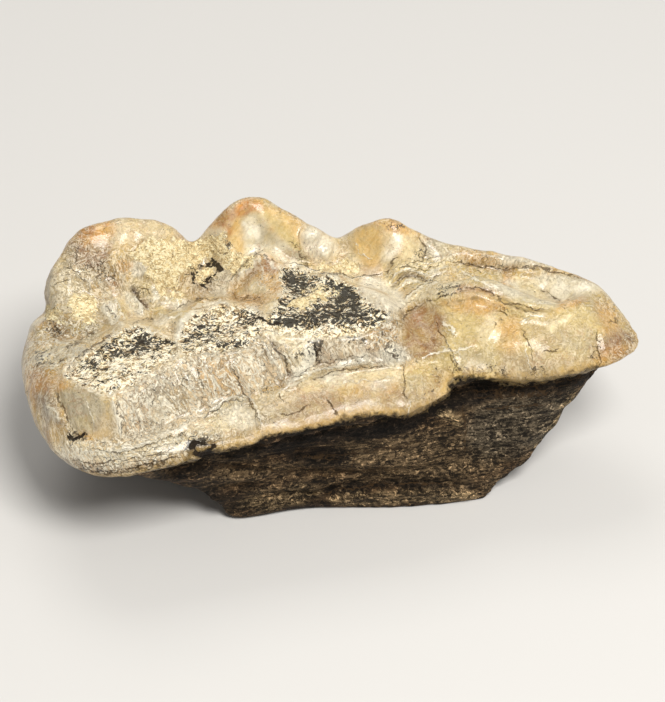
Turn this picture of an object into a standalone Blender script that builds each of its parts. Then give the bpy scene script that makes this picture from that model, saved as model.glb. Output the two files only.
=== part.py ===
"""Fossil upper second molar of a cave bear, lying on its broken roots with the chewing surface up.

The tooth is one solid. It starts as a sphere primitive whose rings become the contour rings of the tooth:
the underside of the root stumps, the foot of the root, its neck, the enamel lip, the belly of the crown,
the ledge above the belly, the shoulder, and last the chewing surface inside the shoulder. The chewing
surface is a thin plate bent through named crests, faces and valleys. Smaller ridges, furrows, worn dishes
and the pit are then pressed into the skin.
+X runs from the broad front of the crown to the tip of its talon, +Y from the tongue side to the cheek side.
"""

import math

import bmesh
import bpy
import numpy as np

# ---------------------------------------------------------------- driving dimensions, in millimetres
MM = 0.001
LENGTH = 46.0                # tip of the talon to the front of the crown
CENTRE = (0.0, 3.4)          # plan position of the sphere's poles
AROUND = 260                 # meridians
SHOULDER_STEP = 5            # every fifth meridian's shoulder holds the chewing surface
UNDER_RINGS, SPAN_RINGS, TOP_RINGS = 26, 11, 64
TRIANGLES = 9400

NECK_INSET, NECK_DROP = 1.0, 0.3       # how far the root's neck lies behind and below the enamel lip
KEEL = 0.55                            # share of the underside, from its middle, that lies flat
SHOULDER_BLEND = 0.1                   # share of the chewing surface that eases into the shoulder
GRAIN_SPACING, GRAIN_HEIGHT = 2.1, 0.18            # ledges along the sides of the root
GRAIN_SWAY = ((3.1, 0.5), (1.7, 0.3))  # rise and fall of the ledges along X and Y: length / 2 pi, height
GRAIN_LOW, GRAIN_HIGH, GRAIN_FADE = 0.4, 8.2, 1.2  # where the ledges start, end, and how softly
NORMAL_PASSES = 8                      # smoothing of the directions that the relief is raised along
STUMP_FLAT = 0.35                      # height cut off the stumps to leave flat faces
FLAT_REACH = 0.06                      # skin this close to the stumps' flat faces joins them

# Stations around the tooth, counter-clockwise from the tip of the talon. Each one is a profile:
# the (x, y, z) of the foot of the root, the enamel lip, the belly, the ledge above it and the shoulder.
STATIONS = {
    "talon tip": (
        (17.5, -2.6, 6.4), (22.1, -3.0, 10.5), (22.9, -3.4, 10.9), (22.0, -2.9, 11.6),
        (20.8, -2.5, 12.4),
    ),
    "talon back": (
        (16.8, 0.4, 5.8), (20.6, 1.0, 10.3), (21.4, 1.0, 11.4), (21.1, 1.0, 12.7), (20.4, 0.7, 13.6),
    ),
    "talon cheek": (
        (14.0, 3.6, 3.6), (16.4, 4.4, 10.0), (17.1, 4.9, 11.2), (16.9, 4.5, 12.8), (16.3, 3.8, 14.1),
    ),
    "behind rear cusp": (
        (9.0, 6.6, 1.0), (10.8, 7.9, 9.4), (11.3, 8.5, 10.8), (11.0, 7.7, 13.0), (10.6, 6.6, 14.5),
    ),
    "rear cusp": (
        (3.6, 8.6, 0.0), (4.2, 10.2, 9.0), (4.4, 11.0, 10.6), (4.6, 10.0, 13.4), (4.8, 8.7, 15.6),
    ),
    "rear notch": (
        (0.4, 9.2, 0.0), (0.5, 11.0, 8.8), (0.6, 11.8, 10.5), (0.8, 10.8, 12.8), (1.0, 9.6, 14.6),
    ),
    "middle cusp": (
        (-3.4, 9.6, 0.0), (-4.0, 12.1, 8.6), (-4.0, 12.9, 10.4), (-4.0, 12.2, 14.0), (-4.2, 11.0, 17.0),
    ),
    "cheek notch": (
        (-8.6, 9.7, 0.0), (-9.2, 11.7, 8.8), (-9.2, 12.4, 10.6), (-9.1, 11.5, 13.2), (-9.1, 10.4, 15.0),
    ),
    "front cusp": (
        (-13.6, 9.9, 0.0), (-14.4, 12.3, 8.4), (-14.5, 13.1, 10.3), (-14.3, 12.4, 13.8),
        (-14.2, 11.2, 16.8),
    ),
    "front corner": (
        (-17.0, 8.4, 1.4), (-19.6, 9.8, 8.4), (-20.2, 10.2, 10.2), (-20.1, 9.6, 12.6),
        (-19.9, 8.8, 14.6),
    ),
    "front notch": (
        (-18.6, 5.0, 3.4), (-21.7, 5.6, 8.6), (-22.3, 5.8, 10.4), (-21.9, 5.6, 12.0), (-21.0, 5.4, 12.8),
    ),
    "front": (
        (-18.8, 1.4, 4.6), (-22.3, 1.5, 8.6), (-23.0, 1.5, 10.5), (-22.6, 1.4, 12.2), (-21.6, 1.3, 13.2),
    ),
    "front tongue side": (
        (-18.0, -2.0, 5.6), (-21.7, -3.1, 8.6), (-22.5, -3.3, 10.3), (-22.0, -3.0, 12.2),
        (-20.9, -2.6, 13.8),
    ),
    "tongue corner": (
        (-16.6, -4.2, 6.2), (-20.2, -6.1, 8.5), (-20.9, -6.6, 9.8), (-20.2, -6.1, 11.8),
        (-19.2, -5.0, 14.0),
    ),
    "first fold": (
        (-12.2, -5.2, 4.4), (-17.2, -7.6, 8.3), (-17.4, -8.4, 9.6), (-17.0, -7.4, 11.3),
        (-16.6, -6.1, 14.0),
    ),
    "second fold": (
        (-7.6, -4.9, 0.0), (-11.0, -7.4, 8.9), (-11.0, -8.2, 10.1), (-10.9, -5.9, 11.6),
        (-10.9, -4.3, 13.9),
    ),
    "third fold": (
        (-3.0, -4.9, 0.0), (-4.0, -7.0, 9.3), (-4.0, -7.7, 10.5), (-4.0, -4.5, 12.1), (-4.2, -3.0, 14.2),
    ),
    "fourth fold": (
        (3.0, -6.3, 0.0), (4.0, -6.6, 9.7), (4.0, -7.2, 10.8), (2.8, -4.4, 12.5), (2.4, -3.2, 14.3),
    ),
    "talon groove": (
        (8.6, -6.9, 0.0), (9.8, -4.9, 10.3), (9.7, -5.8, 11.3), (8.2, -4.0, 12.5), (7.4, -2.6, 13.3),
    ),
    "talon lump": (
        (13.4, -6.2, 2.3), (15.0, -5.9, 10.4), (15.4, -6.4, 11.5), (15.0, -4.9, 13.1),
        (14.6, -3.2, 14.0),
    ),
    "talon tongue side": (
        (16.5, -4.6, 5.0), (20.0, -5.2, 10.5), (20.5, -5.6, 11.2), (19.9, -4.7, 12.5),
        (18.9, -3.5, 13.6),
    ),
}

# Lines on the chewing surface that the plate is bent through: (x, y, z)
CHEWING_SURFACE = {
    "front cusp crest": [
        (-20.0, 6.8, 14.8), (-19.0, 8.0, 16.6), (-17.2, 9.3, 17.9), (-14.4, 9.9, 18.2),
        (-11.8, 9.4, 18.1), (-10.1, 9.0, 17.5), (-9.1, 8.9, 16.2),
    ],
    "front cusp face": [(-19.4, 5.4, 13.9), (-17.6, 6.4, 15.6), (-14.6, 7.2, 16.6), (-11.4, 7.0, 15.9)],
    "middle cusp crest": [
        (-7.8, 9.1, 16.4), (-7.0, 9.3, 17.4), (-5.8, 9.5, 18.1), (-4.4, 9.7, 18.7), (-3.0, 9.4, 18.5),
        (-1.4, 8.6, 17.6), (0.2, 7.8, 16.7), (1.4, 7.3, 15.9), (2.4, 7.2, 15.2),
    ],
    "middle cusp face": [(-6.4, 8.0, 15.6), (-4.3, 8.6, 16.9), (-2.0, 7.6, 15.6), (0.6, 6.7, 14.9)],
    "conule ridge": [(-3.8, 7.6, 15.3), (-3.5, 6.6, 15.7), (-3.2, 5.2, 15.3)],
    "conule flank": [(-6.2, 5.0, 13.4), (-4.9, 3.8, 14.5)],
    "rear cusp crest": [
        (3.5, 7.4, 16.0), (4.9, 7.1, 17.0), (6.5, 6.8, 17.0), (8.2, 6.4, 16.1), (9.8, 6.0, 15.1),
    ],
    "rear cusp face": [(4.6, 5.8, 15.0), (7.4, 5.2, 14.8)],
    "talon back rim": [
        (11.6, 5.4, 14.8), (13.4, 4.8, 14.7), (15.4, 3.8, 14.5), (17.4, 2.7, 14.1), (19.2, 1.5, 13.9),
        (20.4, -0.2, 13.5),
    ],
    "front valley": [
        (-20.0, 5.0, 13.1), (-17.4, 4.7, 13.6), (-14.5, 4.3, 13.6), (-11.6, 4.8, 13.4),
        (-9.2, 6.2, 13.3), (-7.6, 7.0, 13.6),
    ],
    "rear valley": [
        (-1.2, 6.4, 14.4), (1.0, 6.0, 13.8), (3.0, 5.0, 13.5), (5.5, 4.2, 13.4), (8.0, 3.8, 13.3),
        (11.0, 3.4, 12.9), (13.5, 2.6, 12.6), (16.0, 1.4, 12.5), (18.2, 0.2, 12.6),
    ],
    "front rim": [(-20.8, 3.0, 13.0), (-20.6, 0.4, 13.5), (-20.2, -2.0, 14.2)],
    "tongue crest": [
        (-18.6, -4.6, 14.8), (-16.6, -5.1, 15.1), (-13.6, -3.6, 15.1), (-10.4, -2.8, 15.2),
        (-7.5, -2.3, 15.3), (-4.8, -1.3, 15.4), (-1.6, -1.7, 15.5), (1.6, -2.0, 15.5), (3.9, -1.7, 15.2),
    ],
    "worn fields": [
        (-18.6, -2.8, 14.8), (-15.6, -1.8, 15.1), (-12.6, -0.8, 15.0), (-8.6, -0.3, 15.2),
        (0.6, 1.2, 15.4),
    ],
    "far edge of worn fields": [
        (-18.4, -1.2, 14.6), (-15.6, 1.1, 14.9), (-13.4, 1.3, 14.7), (-10.8, 1.0, 15.0),
        (-8.0, 2.2, 15.1), (-5.4, 2.1, 15.0), (-3.3, 3.7, 15.3), (0.6, 4.0, 15.3), (3.4, 1.7, 15.1),
        (4.7, -0.2, 14.9),
    ],
    "talon groove": [(5.6, 1.8, 13.9), (6.1, -0.4, 13.6)],
    "talon crest": [
        (7.8, 1.2, 14.5), (9.4, 1.4, 15.0), (11.2, 1.4, 15.1), (13.0, 0.8, 14.9), (14.6, -0.2, 14.4),
        (16.2, -1.3, 14.1), (17.8, -1.8, 14.0), (19.4, -1.9, 13.8),
    ],
    "talon face": [(9.0, -0.8, 14.2), (12.0, -1.2, 14.4)],
}

# Ridges (height above zero) and furrows (below it) along a line near the skin: width, height, then the line
RIDGES_AND_FURROWS = {
    "notch between the front cusps": (0.9, -0.5, [
        (-9.2, 12.6, 10.6), (-8.8, 11.6, 13.2), (-8.6, 9.2, 15.4),
    ]),
    "notch before the front rim": (1.0, -0.8, [(-21.0, 6.4, 13.6), (-21.0, 8.2, 12.5), (-20.6, 10.2, 11.0)]),
    "shoulder of the front cusp": (1.0, 0.35, [(-18.0, 9.0, 17.2), (-17.0, 9.2, 17.8), (-16.0, 9.4, 18.0)]),
    "dip behind the middle cusp": (0.9, -0.4, [(0.8, 8.6, 16.3), (1.8, 8.6, 15.8), (2.6, 8.7, 15.4)]),
    "notch before the rear cusp": (1.0, -0.4, [(2.0, 11.4, 11.4), (2.2, 9.8, 13.8), (2.4, 7.2, 15.2)]),
    "front cusp rib": (1.0, 0.35, [(-14.0, 9.2, 18.0), (-15.0, 6.6, 16.2), (-15.6, 4.8, 14.2)]),
    "front cusp side rib": (0.8, 0.35, [(-19.2, 7.6, 16.2), (-18.8, 5.6, 14.2), (-17.6, 3.8, 13.8)]),
    "front cusp rear rib": (0.8, 0.3, [(-11.8, 9.0, 17.8), (-12.2, 6.6, 15.6), (-12.8, 4.4, 13.6)]),
    "earth in the front valley": (1.5, 0.45, [(-11.4, 7.6, 16.0), (-9.6, 6.8, 14.0), (-7.0, 7.6, 14.4)]),
    "earth beside the front rim": (1.1, 0.3, [(-19.4, 6.0, 13.9), (-18.2, 4.8, 13.8)]),
    "wrinkle across the front valley": (0.6, 0.35, [(-14.4, 4.6, 13.7), (-15.2, 2.0, 14.6)]),
    "second wrinkle across the valley": (0.6, 0.3, [(-10.8, 4.6, 13.4), (-11.8, 2.0, 14.6)]),
    "bead behind the middle cusp": (0.9, 0.4, [(0.3, 7.2, 16.2), (0.6, 6.6, 15.4)]),
    "wrinkle in the talon basin": (0.7, 0.3, [(9.6, 3.6, 13.3), (12.6, 3.2, 13.0), (15.6, 1.8, 12.7)]),
    "middle cusp rib": (0.8, 0.3, [(-4.4, 9.4, 18.6), (-4.0, 8.2, 16.4)]),
    "middle cusp edge": (0.7, 0.4, [(-5.5, 9.5, 18.2), (-6.2, 9.0, 16.8), (-5.7, 8.2, 15.3)]),
    "middle cusp slanting rib": (0.8, 0.35, [(-3.4, 9.2, 18.4), (-1.8, 8.0, 16.6), (-0.4, 6.9, 15.0)]),
    "furrow under the talon rim": (0.7, -0.35, [(10.6, 4.5, 13.9), (13.4, 3.8, 13.7), (17.2, 1.7, 13.3)]),
    "rear cusp rib": (0.9, 0.3, [(5.8, 6.8, 17.0), (6.6, 5.2, 14.9)]),
    "fold beside the first field": (1.2, -0.4, [
        (-12.0, -0.2, 14.9), (-12.5, -4.2, 14.2), (-13.6, -6.4, 11.8),
    ]),
    "fold beside the second field": (1.1, -0.45, [
        (-5.0, 0.8, 15.0), (-6.2, -3.2, 14.0), (-7.0, -5.4, 11.9),
    ]),
    "fold under the third field": (0.8, -0.35, [(-1.4, -2.0, 15.2), (-1.8, -3.9, 12.6)]),
    "talon side groove": (1.2, -0.5, [(6.2, 1.0, 13.9), (6.2, -2.8, 13.2), (7.0, -5.4, 11.6)]),
    "gutter above the ledge": (0.8, -0.35, [
        (-16.0, -7.0, 11.8), (-10.9, -5.6, 11.9), (-4.0, -4.2, 12.3), (3.0, -4.0, 12.6),
    ]),
    "fork of the cheek roots": (2.2, -1.3, [(-5.6, 9.8, -1.0), (-5.4, 10.4, 4.0), (-5.2, 11.2, 7.4)]),
    "hollow between tongue and cheek roots": (2.2, -1.8, [(-11.0, 3.2, 0.0), (8.0, 2.8, 0.0)]),
    "hollow between the cheek roots": (1.8, -1.6, [(-5.5, 4.0, 0.0), (-5.5, 9.0, 0.0)]),
    "canal of the tongue root": (1.0, -1.0, [(-3.0, -2.4, 0.0), (5.0, -3.4, 0.0)]),
    "canal of the front cheek root": (1.0, -1.0, [(-13.0, 6.8, 0.0), (-11.5, 7.0, 0.0)]),
    "canal of the rear cheek root": (0.9, -1.0, [(0.5, 6.6, 0.0), (2.5, 6.2, 0.0)]),
    "cheek ledge": (0.9, 0.3, [
        (-18.6, 11.4, 10.4), (-14.5, 13.1, 10.5), (-4.0, 12.9, 10.6), (5.0, 10.9, 10.8),
    ]),
    "swelling of the front ledge": (1.3, 0.3, [(-16.6, -7.6, 10.8), (-12.0, -7.2, 11.0)]),
    "swelling of the middle ledge": (1.3, 0.3, [(-5.6, -6.4, 11.4), (1.6, -6.2, 11.7)]),
    "swelling of the talon": (1.9, 0.3, [(11.4, -3.4, 13.6), (13.6, -4.4, 13.2)]),
    "root ledge": (0.9, 0.5, [
        (-9.5, -5.4, 0.9), (-3.5, -5.1, 1.0), (2.0, -6.4, 1.0), (6.0, -6.8, 0.9), (10.0, -7.0, 0.9),
    ]),
    "root furrow": (0.9, -0.4, [
        (-11.0, -6.0, 4.2), (-3.5, -5.6, 3.0), (4.0, -6.6, 3.2), (12.0, -6.4, 4.6),
    ]),
    "upper root furrow": (0.9, -0.35, [
        (-13.0, -6.4, 6.6), (-3.5, -6.0, 6.2), (4.0, -6.4, 6.6), (13.0, -5.8, 7.4),
    ]),
}

# Worn fields of bare dentine: depth, then the outline (x, y)
DISH_EDGE = 0.9
DISHES = {
    "first field": (0.35, [
        (-19.8, -3.2), (-18.4, -1.8), (-15.9, 0.6), (-14.2, 1.1), (-12.6, -0.4), (-14.4, -4.2),
        (-17.2, -5.6),
    ]),
    "second field": (0.35, [
        (-11.6, -1.2), (-10.6, 0.2), (-8.0, 1.8), (-5.2, 1.2), (-5.9, -0.9), (-8.2, -2.4), (-10.8, -2.4),
    ]),
    "third field": (0.4, [
        (-4.4, 0.6), (-3.4, 2.4), (-2.8, 5.0), (0.2, 4.4), (2.4, 2.6), (4.4, 0.0), (2.8, -1.7),
        (-1.8, -1.7),
    ]),
}
PIT = (-8.2, 8.0, 1.1, 1.1)            # x, y, radius and depth of the pit behind the front cusp


def spline(before, start, end, after, t):
    """Catmull-Rom value at t between start and end."""
    return 0.5 * (2 * start + (end - before) * t + (2 * before - 5 * start + 4 * end - after) * t**2
                  + (3 * start - before - 3 * end + after) * t**3)


def ring_through(points, places):
    """A closed smooth curve through the points, read at places counted in stations."""
    p = np.array(points, float)
    first = np.floor(places).astype(int)
    before, start, end, after = (p[(first + step) % len(p)] for step in (-1, 0, 1, 2))
    return spline(before, start, end, after, (places - first)[:, None])


def even_places(points, count):
    """Places along the closed curve that cut it into equal lengths."""
    dense = np.linspace(0, len(points), 4000)
    curve = ring_through(points, dense % len(points))
    length = np.concatenate([[0], np.cumsum(np.linalg.norm(np.diff(curve, axis=0), axis=1))])
    return np.interp(np.arange(count) / count * length[-1], length, dense)


def levels_through(rings):
    """Smooth profiles through the rings: an array (level, meridian, 3) that ends on the last ring."""
    padded = [2 * rings[0] - rings[1], *rings, 2 * rings[-1] - rings[-2]]
    levels = []
    for i in range(len(rings) - 1):
        for step in range(SPAN_RINGS):
            levels.append(spline(*padded[i:i + 4], step / SPAN_RINGS))
    return levels + [rings[-1]]


def inset(ring, distance, drop):
    """The ring moved towards the centre in plan, and down."""
    towards = np.array([*CENTRE, 0.0]) - ring
    towards[:, 2] = 0
    towards /= np.linalg.norm(towards, axis=1)[:, None]
    return ring + towards * distance - np.array([0, 0, drop])


def smooth_step(value):
    value = np.clip(value, 0, 1)
    return value * value * (3 - 2 * value)


class Plate:
    """A thin plate bent through scattered points: height as a smooth function of plan position."""

    def __init__(self, points):
        self.places = points[:, :2]
        kernel = self.kernel(self.places)
        plane = np.column_stack([np.ones(len(points)), self.places])
        system = np.block([[kernel, plane], [plane.T, np.zeros((3, 3))]])
        self.weights = np.linalg.solve(system, np.concatenate([points[:, 2], np.zeros(3)]))

    def kernel(self, xy):
        square = ((xy[:, None] - self.places[None]) ** 2).sum(2)
        return 0.5 * square * np.log(square + 1e-12)

    def height(self, xy):
        plane = np.column_stack([np.ones(len(xy)), xy])
        return np.column_stack([self.kernel(xy), plane]) @ self.weights


def underside(foot):
    """Rows from the pole below the tooth out to the foot ring: flat in the middle, rising at the ends."""
    centre = np.array([*CENTRE, 0.0])
    rows = []
    for share in np.linspace(0, 1, UNDER_RINGS, endpoint=False):
        row = centre + (foot - centre) * share
        row[:, 2] = foot[:, 2] * smooth_step((share - KEEL) / (1 - KEEL))
        rows.append(row)
    return rows


def chewing_surface(shoulder):
    """Rows from inside the shoulder ring to the pole on top."""
    around = shoulder[::SHOULDER_STEP]
    lines = [point for line in CHEWING_SURFACE.values() for point in line]
    plate = Plate(np.vstack([around, lines]))
    centre = np.array([*CENTRE, 0.0])
    rows = []
    for share in np.linspace(1, 0, TOP_RINGS)[1:]:
        row = centre + (shoulder - centre) * share
        height = plate.height(row[:, :2])
        near_shoulder = smooth_step((share - 1 + SHOULDER_BLEND) / SHOULDER_BLEND)
        row[:, 2] = height + (shoulder[:, 2] - plate.height(shoulder[:, :2])) * near_shoulder
        rows.append(row)
    return rows


def contour_levels():
    """Every level of the tooth from the lower pole to the upper one: (level, meridian, 3)."""
    foot_points, lip_points, belly_points, ledge_points, shoulder_points = zip(*STATIONS.values())
    places = even_places(belly_points, AROUND)
    foot, lip, belly, ledge, shoulder = (
        ring_through(points, places)
        for points in (foot_points, lip_points, belly_points, ledge_points, shoulder_points)
    )
    neck = inset(lip, NECK_INSET, NECK_DROP)
    waist = (foot + neck) / 2
    wall = levels_through([foot, waist, neck, lip, belly, ledge, shoulder])
    return np.stack(underside(foot) + wall + chewing_surface(shoulder))


def distance_to_line(points, line):
    """Distance from each point to a line of straight runs, in as many dimensions as the line has."""
    line = np.array(line, float)
    nearest = np.full(len(points), np.inf)
    for start, end in zip(line[:-1], line[1:]):
        run = end - start
        along = np.clip((points - start) @ run / (run @ run), 0, 1)
        nearest = np.minimum(nearest, np.linalg.norm(points - start - along[:, None] * run, axis=1))
    return nearest


def inside(points, outline):
    """Whether each (x, y) lies inside the closed outline."""
    result = np.zeros(len(points), bool)
    for (x0, y0), (x1, y1) in zip(outline, outline[1:] + outline[:1]):
        crosses = (y0 > points[:, 1]) != (y1 > points[:, 1])
        if y0 != y1:
            result ^= crosses & (points[:, 0] < x0 + (x1 - x0) * (points[:, 1] - y0) / (y1 - y0))
    return result


def skin_normals(levels):
    """Outward directions of the skin, averaged over their neighbours so that no furrow folds on itself."""
    along = np.roll(levels, -1, 1) - np.roll(levels, 1, 1)
    upward = np.gradient(levels, axis=0)
    normals = np.cross(along, upward)
    normals[0], normals[-1] = (0, 0, -1), (0, 0, 1)
    for _ in range(NORMAL_PASSES):
        normals /= np.linalg.norm(normals, axis=2)[:, :, None]
        sideways = np.roll(normals, 1, 1) + np.roll(normals, -1, 1)
        normals[1:-1] += sideways[1:-1] + normals[:-2] + normals[2:]
    return normals / np.linalg.norm(normals, axis=2)[:, :, None]


def root_grain(points, normals):
    """Long wavy ledges along the sides of the root."""
    (x_length, x_height), (y_length, y_height) = GRAIN_SWAY
    x, y, z = points.T
    level = z + x_height * np.sin(x / x_length) + y_height * np.sin(y / y_length)
    ends = smooth_step((GRAIN_HIGH - z) / GRAIN_FADE) * smooth_step((z - GRAIN_LOW) / GRAIN_FADE)
    steepness = smooth_step(1.6 - 2 * np.abs(normals[:, 2]))
    return GRAIN_HEIGHT * np.sin(2 * math.pi * level / GRAIN_SPACING) * ends * steepness


def relief(points, normals):
    """How far each point of the skin moves along its normal."""
    move = root_grain(points, normals)
    for width, height, line in RIDGES_AND_FURROWS.values():
        move += height * np.exp(-(distance_to_line(points, line) / width) ** 2)
    on_top = smooth_step(normals[:, 2] * 2)
    for depth, outline in DISHES.values():
        edge = distance_to_line(points[:, :2], outline + outline[:1])
        edge[~inside(points[:, :2], outline)] = 0
        move -= depth * smooth_step(edge / DISH_EDGE) * on_top
    x, y, radius, depth = PIT
    move -= depth * np.exp(-(np.hypot(points[:, 0] - x, points[:, 1] - y) / radius) ** 4) * on_top
    return move


def finished_levels():
    """The contour levels with their relief and with flat faces under the stumps."""
    levels = contour_levels()
    normals = skin_normals(levels)
    move = relief(levels.reshape(-1, 3), normals.reshape(-1, 3)).reshape(levels.shape[:2])
    levels += normals * move[:, :, None]
    levels[:, :, 2] = np.maximum(levels[:, :, 2] - STUMP_FLAT, 0)
    return levels


def sphere_of(levels):
    """A sphere primitive with its rings moved to the levels."""
    last = len(levels) - 1
    builder = bmesh.new()
    bmesh.ops.create_uvsphere(builder, u_segments=AROUND, v_segments=last, radius=1)
    for vertex in builder.verts:
        level = round((1 - math.acos(max(-1, min(1, vertex.co.z))) / math.pi) * last)
        meridian = round(math.atan2(vertex.co.y, vertex.co.x) / (2 * math.pi) * AROUND) % AROUND
        vertex.co = levels[level, meridian] * MM
    return builder


def tooth_material():
    material = bpy.data.materials.new("fossil enamel")
    material.use_nodes = True
    shader = material.node_tree.nodes["Principled BSDF"]
    shader.inputs["Base Color"].default_value = (0.50, 0.40, 0.25, 1)
    shader.inputs["Roughness"].default_value = 0.35
    shader.inputs["Metallic"].default_value = 0
    return material


def thinned(mesh):
    """The mesh with few enough triangles for a solid, as a new mesh."""
    draft = bpy.data.objects.new("draft", mesh)
    bpy.context.scene.collection.objects.link(draft)
    decimate = draft.modifiers.new("Fewer triangles", "DECIMATE")
    decimate.ratio = TRIANGLES / sum(len(face.vertices) - 2 for face in mesh.polygons)
    evaluated = draft.evaluated_get(bpy.context.evaluated_depsgraph_get())
    result = bpy.data.meshes.new_from_object(evaluated)
    bpy.data.objects.remove(draft)
    return result


def settle(mesh):
    """Stand the tooth on its flat faces over the origin, at its full length."""
    points = np.array([vertex.co for vertex in mesh.vertices])
    points[points[:, 2] < FLAT_REACH * MM, 2] = 0
    low, high = points.min(0), points.max(0)
    points[:, :2] -= (low + high)[:2] / 2
    points[:, :2] *= LENGTH * MM / (high[0] - low[0])
    for vertex, point in zip(mesh.vertices, points):
        vertex.co = point


def build_tooth():
    builder = sphere_of(finished_levels())
    fine = bpy.data.meshes.new("fine tooth")
    builder.to_mesh(fine)
    builder.free()
    mesh = thinned(fine)
    mesh.name = "tooth"
    settle(mesh)
    mesh.shade_smooth()
    mesh.materials.append(tooth_material())
    tooth = bpy.data.objects.new("tooth", mesh)
    collection = bpy.data.collections.new("fossil cave bear tooth")
    bpy.context.scene.collection.children.link(collection)
    collection.objects.link(tooth)


def main():
    for obj in list(bpy.data.objects):
        bpy.data.objects.remove(obj)
    build_tooth()


main()
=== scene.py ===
"""Fossil upper second molar of a cave bear: the finish of its skin, the earth stuck to it and a plain studio.

The tooth lies on its broken roots with the chewing surface up. The solid's skin is remeshed finely, then
each part of it is shaped and dressed in turn: enamel folds, worn fields, earth, root fibres and cracks.
Marks on the tongue side and on top are drawn on a sheet that faces them, and carried onto the skin.
Lengths are millimetres until a mesh is written, in metres.
"""

import logging
import math
from dataclasses import dataclass
from enum import Enum
from functools import reduce
from typing import TypeVar, Union

import bmesh
import bpy
import numpy as np
from mathutils import Matrix, Vector, noise
from mathutils.bvhtree import BVHTree


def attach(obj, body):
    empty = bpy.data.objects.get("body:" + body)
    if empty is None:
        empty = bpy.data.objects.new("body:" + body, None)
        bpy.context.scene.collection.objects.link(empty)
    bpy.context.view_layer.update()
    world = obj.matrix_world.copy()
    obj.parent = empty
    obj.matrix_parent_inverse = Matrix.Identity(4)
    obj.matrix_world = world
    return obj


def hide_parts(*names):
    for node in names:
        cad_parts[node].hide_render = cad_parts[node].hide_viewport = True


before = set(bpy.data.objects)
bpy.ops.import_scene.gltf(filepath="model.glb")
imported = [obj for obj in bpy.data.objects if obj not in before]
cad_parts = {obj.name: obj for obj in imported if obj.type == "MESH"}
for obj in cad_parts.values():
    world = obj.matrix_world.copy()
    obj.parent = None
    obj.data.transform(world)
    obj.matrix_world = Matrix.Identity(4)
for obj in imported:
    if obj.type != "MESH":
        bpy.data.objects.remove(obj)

LOG = logging.getLogger("tooth")
MM = 0.001
Points = np.ndarray
Socket = bpy.types.NodeSocket
Triple = tuple[float, float, float]
Paint = tuple[float, float, float, float]
Limits = tuple[float, float]
Outline = tuple[int, ...]
Mark = TypeVar("Mark")


class Tone(Enum):
    """The colours of the fossil, as red, green and blue of 255."""

    WHITE = (252, 243, 218)
    IVORY = (255, 236, 200)
    CREAM = (238, 219, 172)
    PEARL = (216, 206, 178)
    SAND = (218, 198, 156)
    YELLOW = (248, 226, 162)
    HONEY = (215, 175, 97)
    AMBER = (214, 147, 54)
    OCHRE = (202, 144, 54)
    RUST = (164, 97, 38)
    PEACH = (216, 169, 99)
    BROWN = (128, 85, 40)
    MAUVE = (166, 130, 94)
    OLIVE = (198, 174, 110)
    GREY = (172, 158, 126)
    UMBER = (92, 72, 50)
    BARK = (108, 90, 66)
    ASH = (96, 86, 70)
    SOOT = (34, 28, 22)
    STRAW = (172, 148, 110)
    TAN = (150, 126, 94)
    COAL = (16, 16, 18)

    @property
    def linear(self) -> Paint:
        """The colour as a shader takes it, taken off the sRGB curve.

        Returns:
            Linear red, green and blue, and a full alpha.
        """
        parts = [channel / 255 for channel in self.value]
        curved = [p / 12.92 if p <= 0.04045 else ((p + 0.055) / 1.055) ** 2.4 for p in parts]
        return (*curved, 1.0)


Value = Union[Socket, float, tuple, Tone]


@dataclass(frozen=True)
class Stain:
    """A soft patch of colour in the enamel, drawn on the sheet as x, y, x, y and so on; some are painted
    shade or painted highlights rather than stains.
    """

    tone: Tone
    cover: float
    outline: Outline
    fade: float = 0.65


@dataclass(frozen=True)
class Fold:
    """A ridge, or a furrow where the height is below zero, along a line on the sheet."""

    width: float
    height: float
    line: Outline


@dataclass(frozen=True)
class DarkLine:
    """A crack or a seam filled with dark mineral, along a line on the sheet."""

    width: float
    line: Outline


@dataclass(frozen=True)
class Area:
    """A patch on the sheet with one strength, such as how much coal-black speckle it carries."""

    strength: float
    outline: Outline


def named(kind: type[Mark], marks: dict[str, tuple]) -> dict[str, Mark]:
    """A table of marks of one kind from their fields."""
    return {name: kind(*fields) for name, fields in marks.items()}


def placed(kind: type[Mark], places: dict[str, dict[str, tuple]]) -> dict[str, Mark]:
    """A table of marks of one kind, each named by its place and its own name."""
    return {f"{place}, {name}": kind(*fields)
            for place, marks in places.items() for name, fields in marks.items()}


# ---------------------------------------------------------------- lines, outlines and random fields

def pairs(numbers: Outline) -> Points:
    """The flat row x, y, x, y as an array of places."""
    return np.array(numbers, float).reshape(-1, 2)


def smooth_step(value: np.ndarray) -> np.ndarray:
    """Eased rise from 0 to 1."""
    value = np.clip(value, 0, 1)
    return value * value * (3 - 2 * value)


def laid(tint: np.ndarray, tone: Tone, share: np.ndarray) -> np.ndarray:
    """The tint with so much of a tone laid over it at each point."""
    return tint + (np.array(tone.linear) - tint) * share[:, None]


def curve_through(places: Points, closed: bool, steps: int = 5) -> Points:
    """A smooth line through the places.

    Args:
        places: corners, one a row.
        closed: whether the line returns to its start.
        steps: pieces between two corners.
    Returns:
        The places of the smooth line; a closed one ends where it starts.
    """
    if closed:
        padded = np.vstack([places[-1:], places, places[:2]])
    else:
        padded = np.vstack([2 * places[0] - places[1], places, 2 * places[-1] - places[-2]])
    shares = np.linspace(0, 1, steps, endpoint=False)[:, None]
    parts = []
    for before, start, end, after in zip(padded, padded[1:], padded[2:], padded[3:]):
        parts.append(0.5 * (2 * start + (end - before) * shares
                            + (2 * before - 5 * start + 4 * end - after) * shares**2
                            + (3 * start - before - 3 * end + after) * shares**3))
    return np.vstack([*parts, padded[-2][None]])


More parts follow.
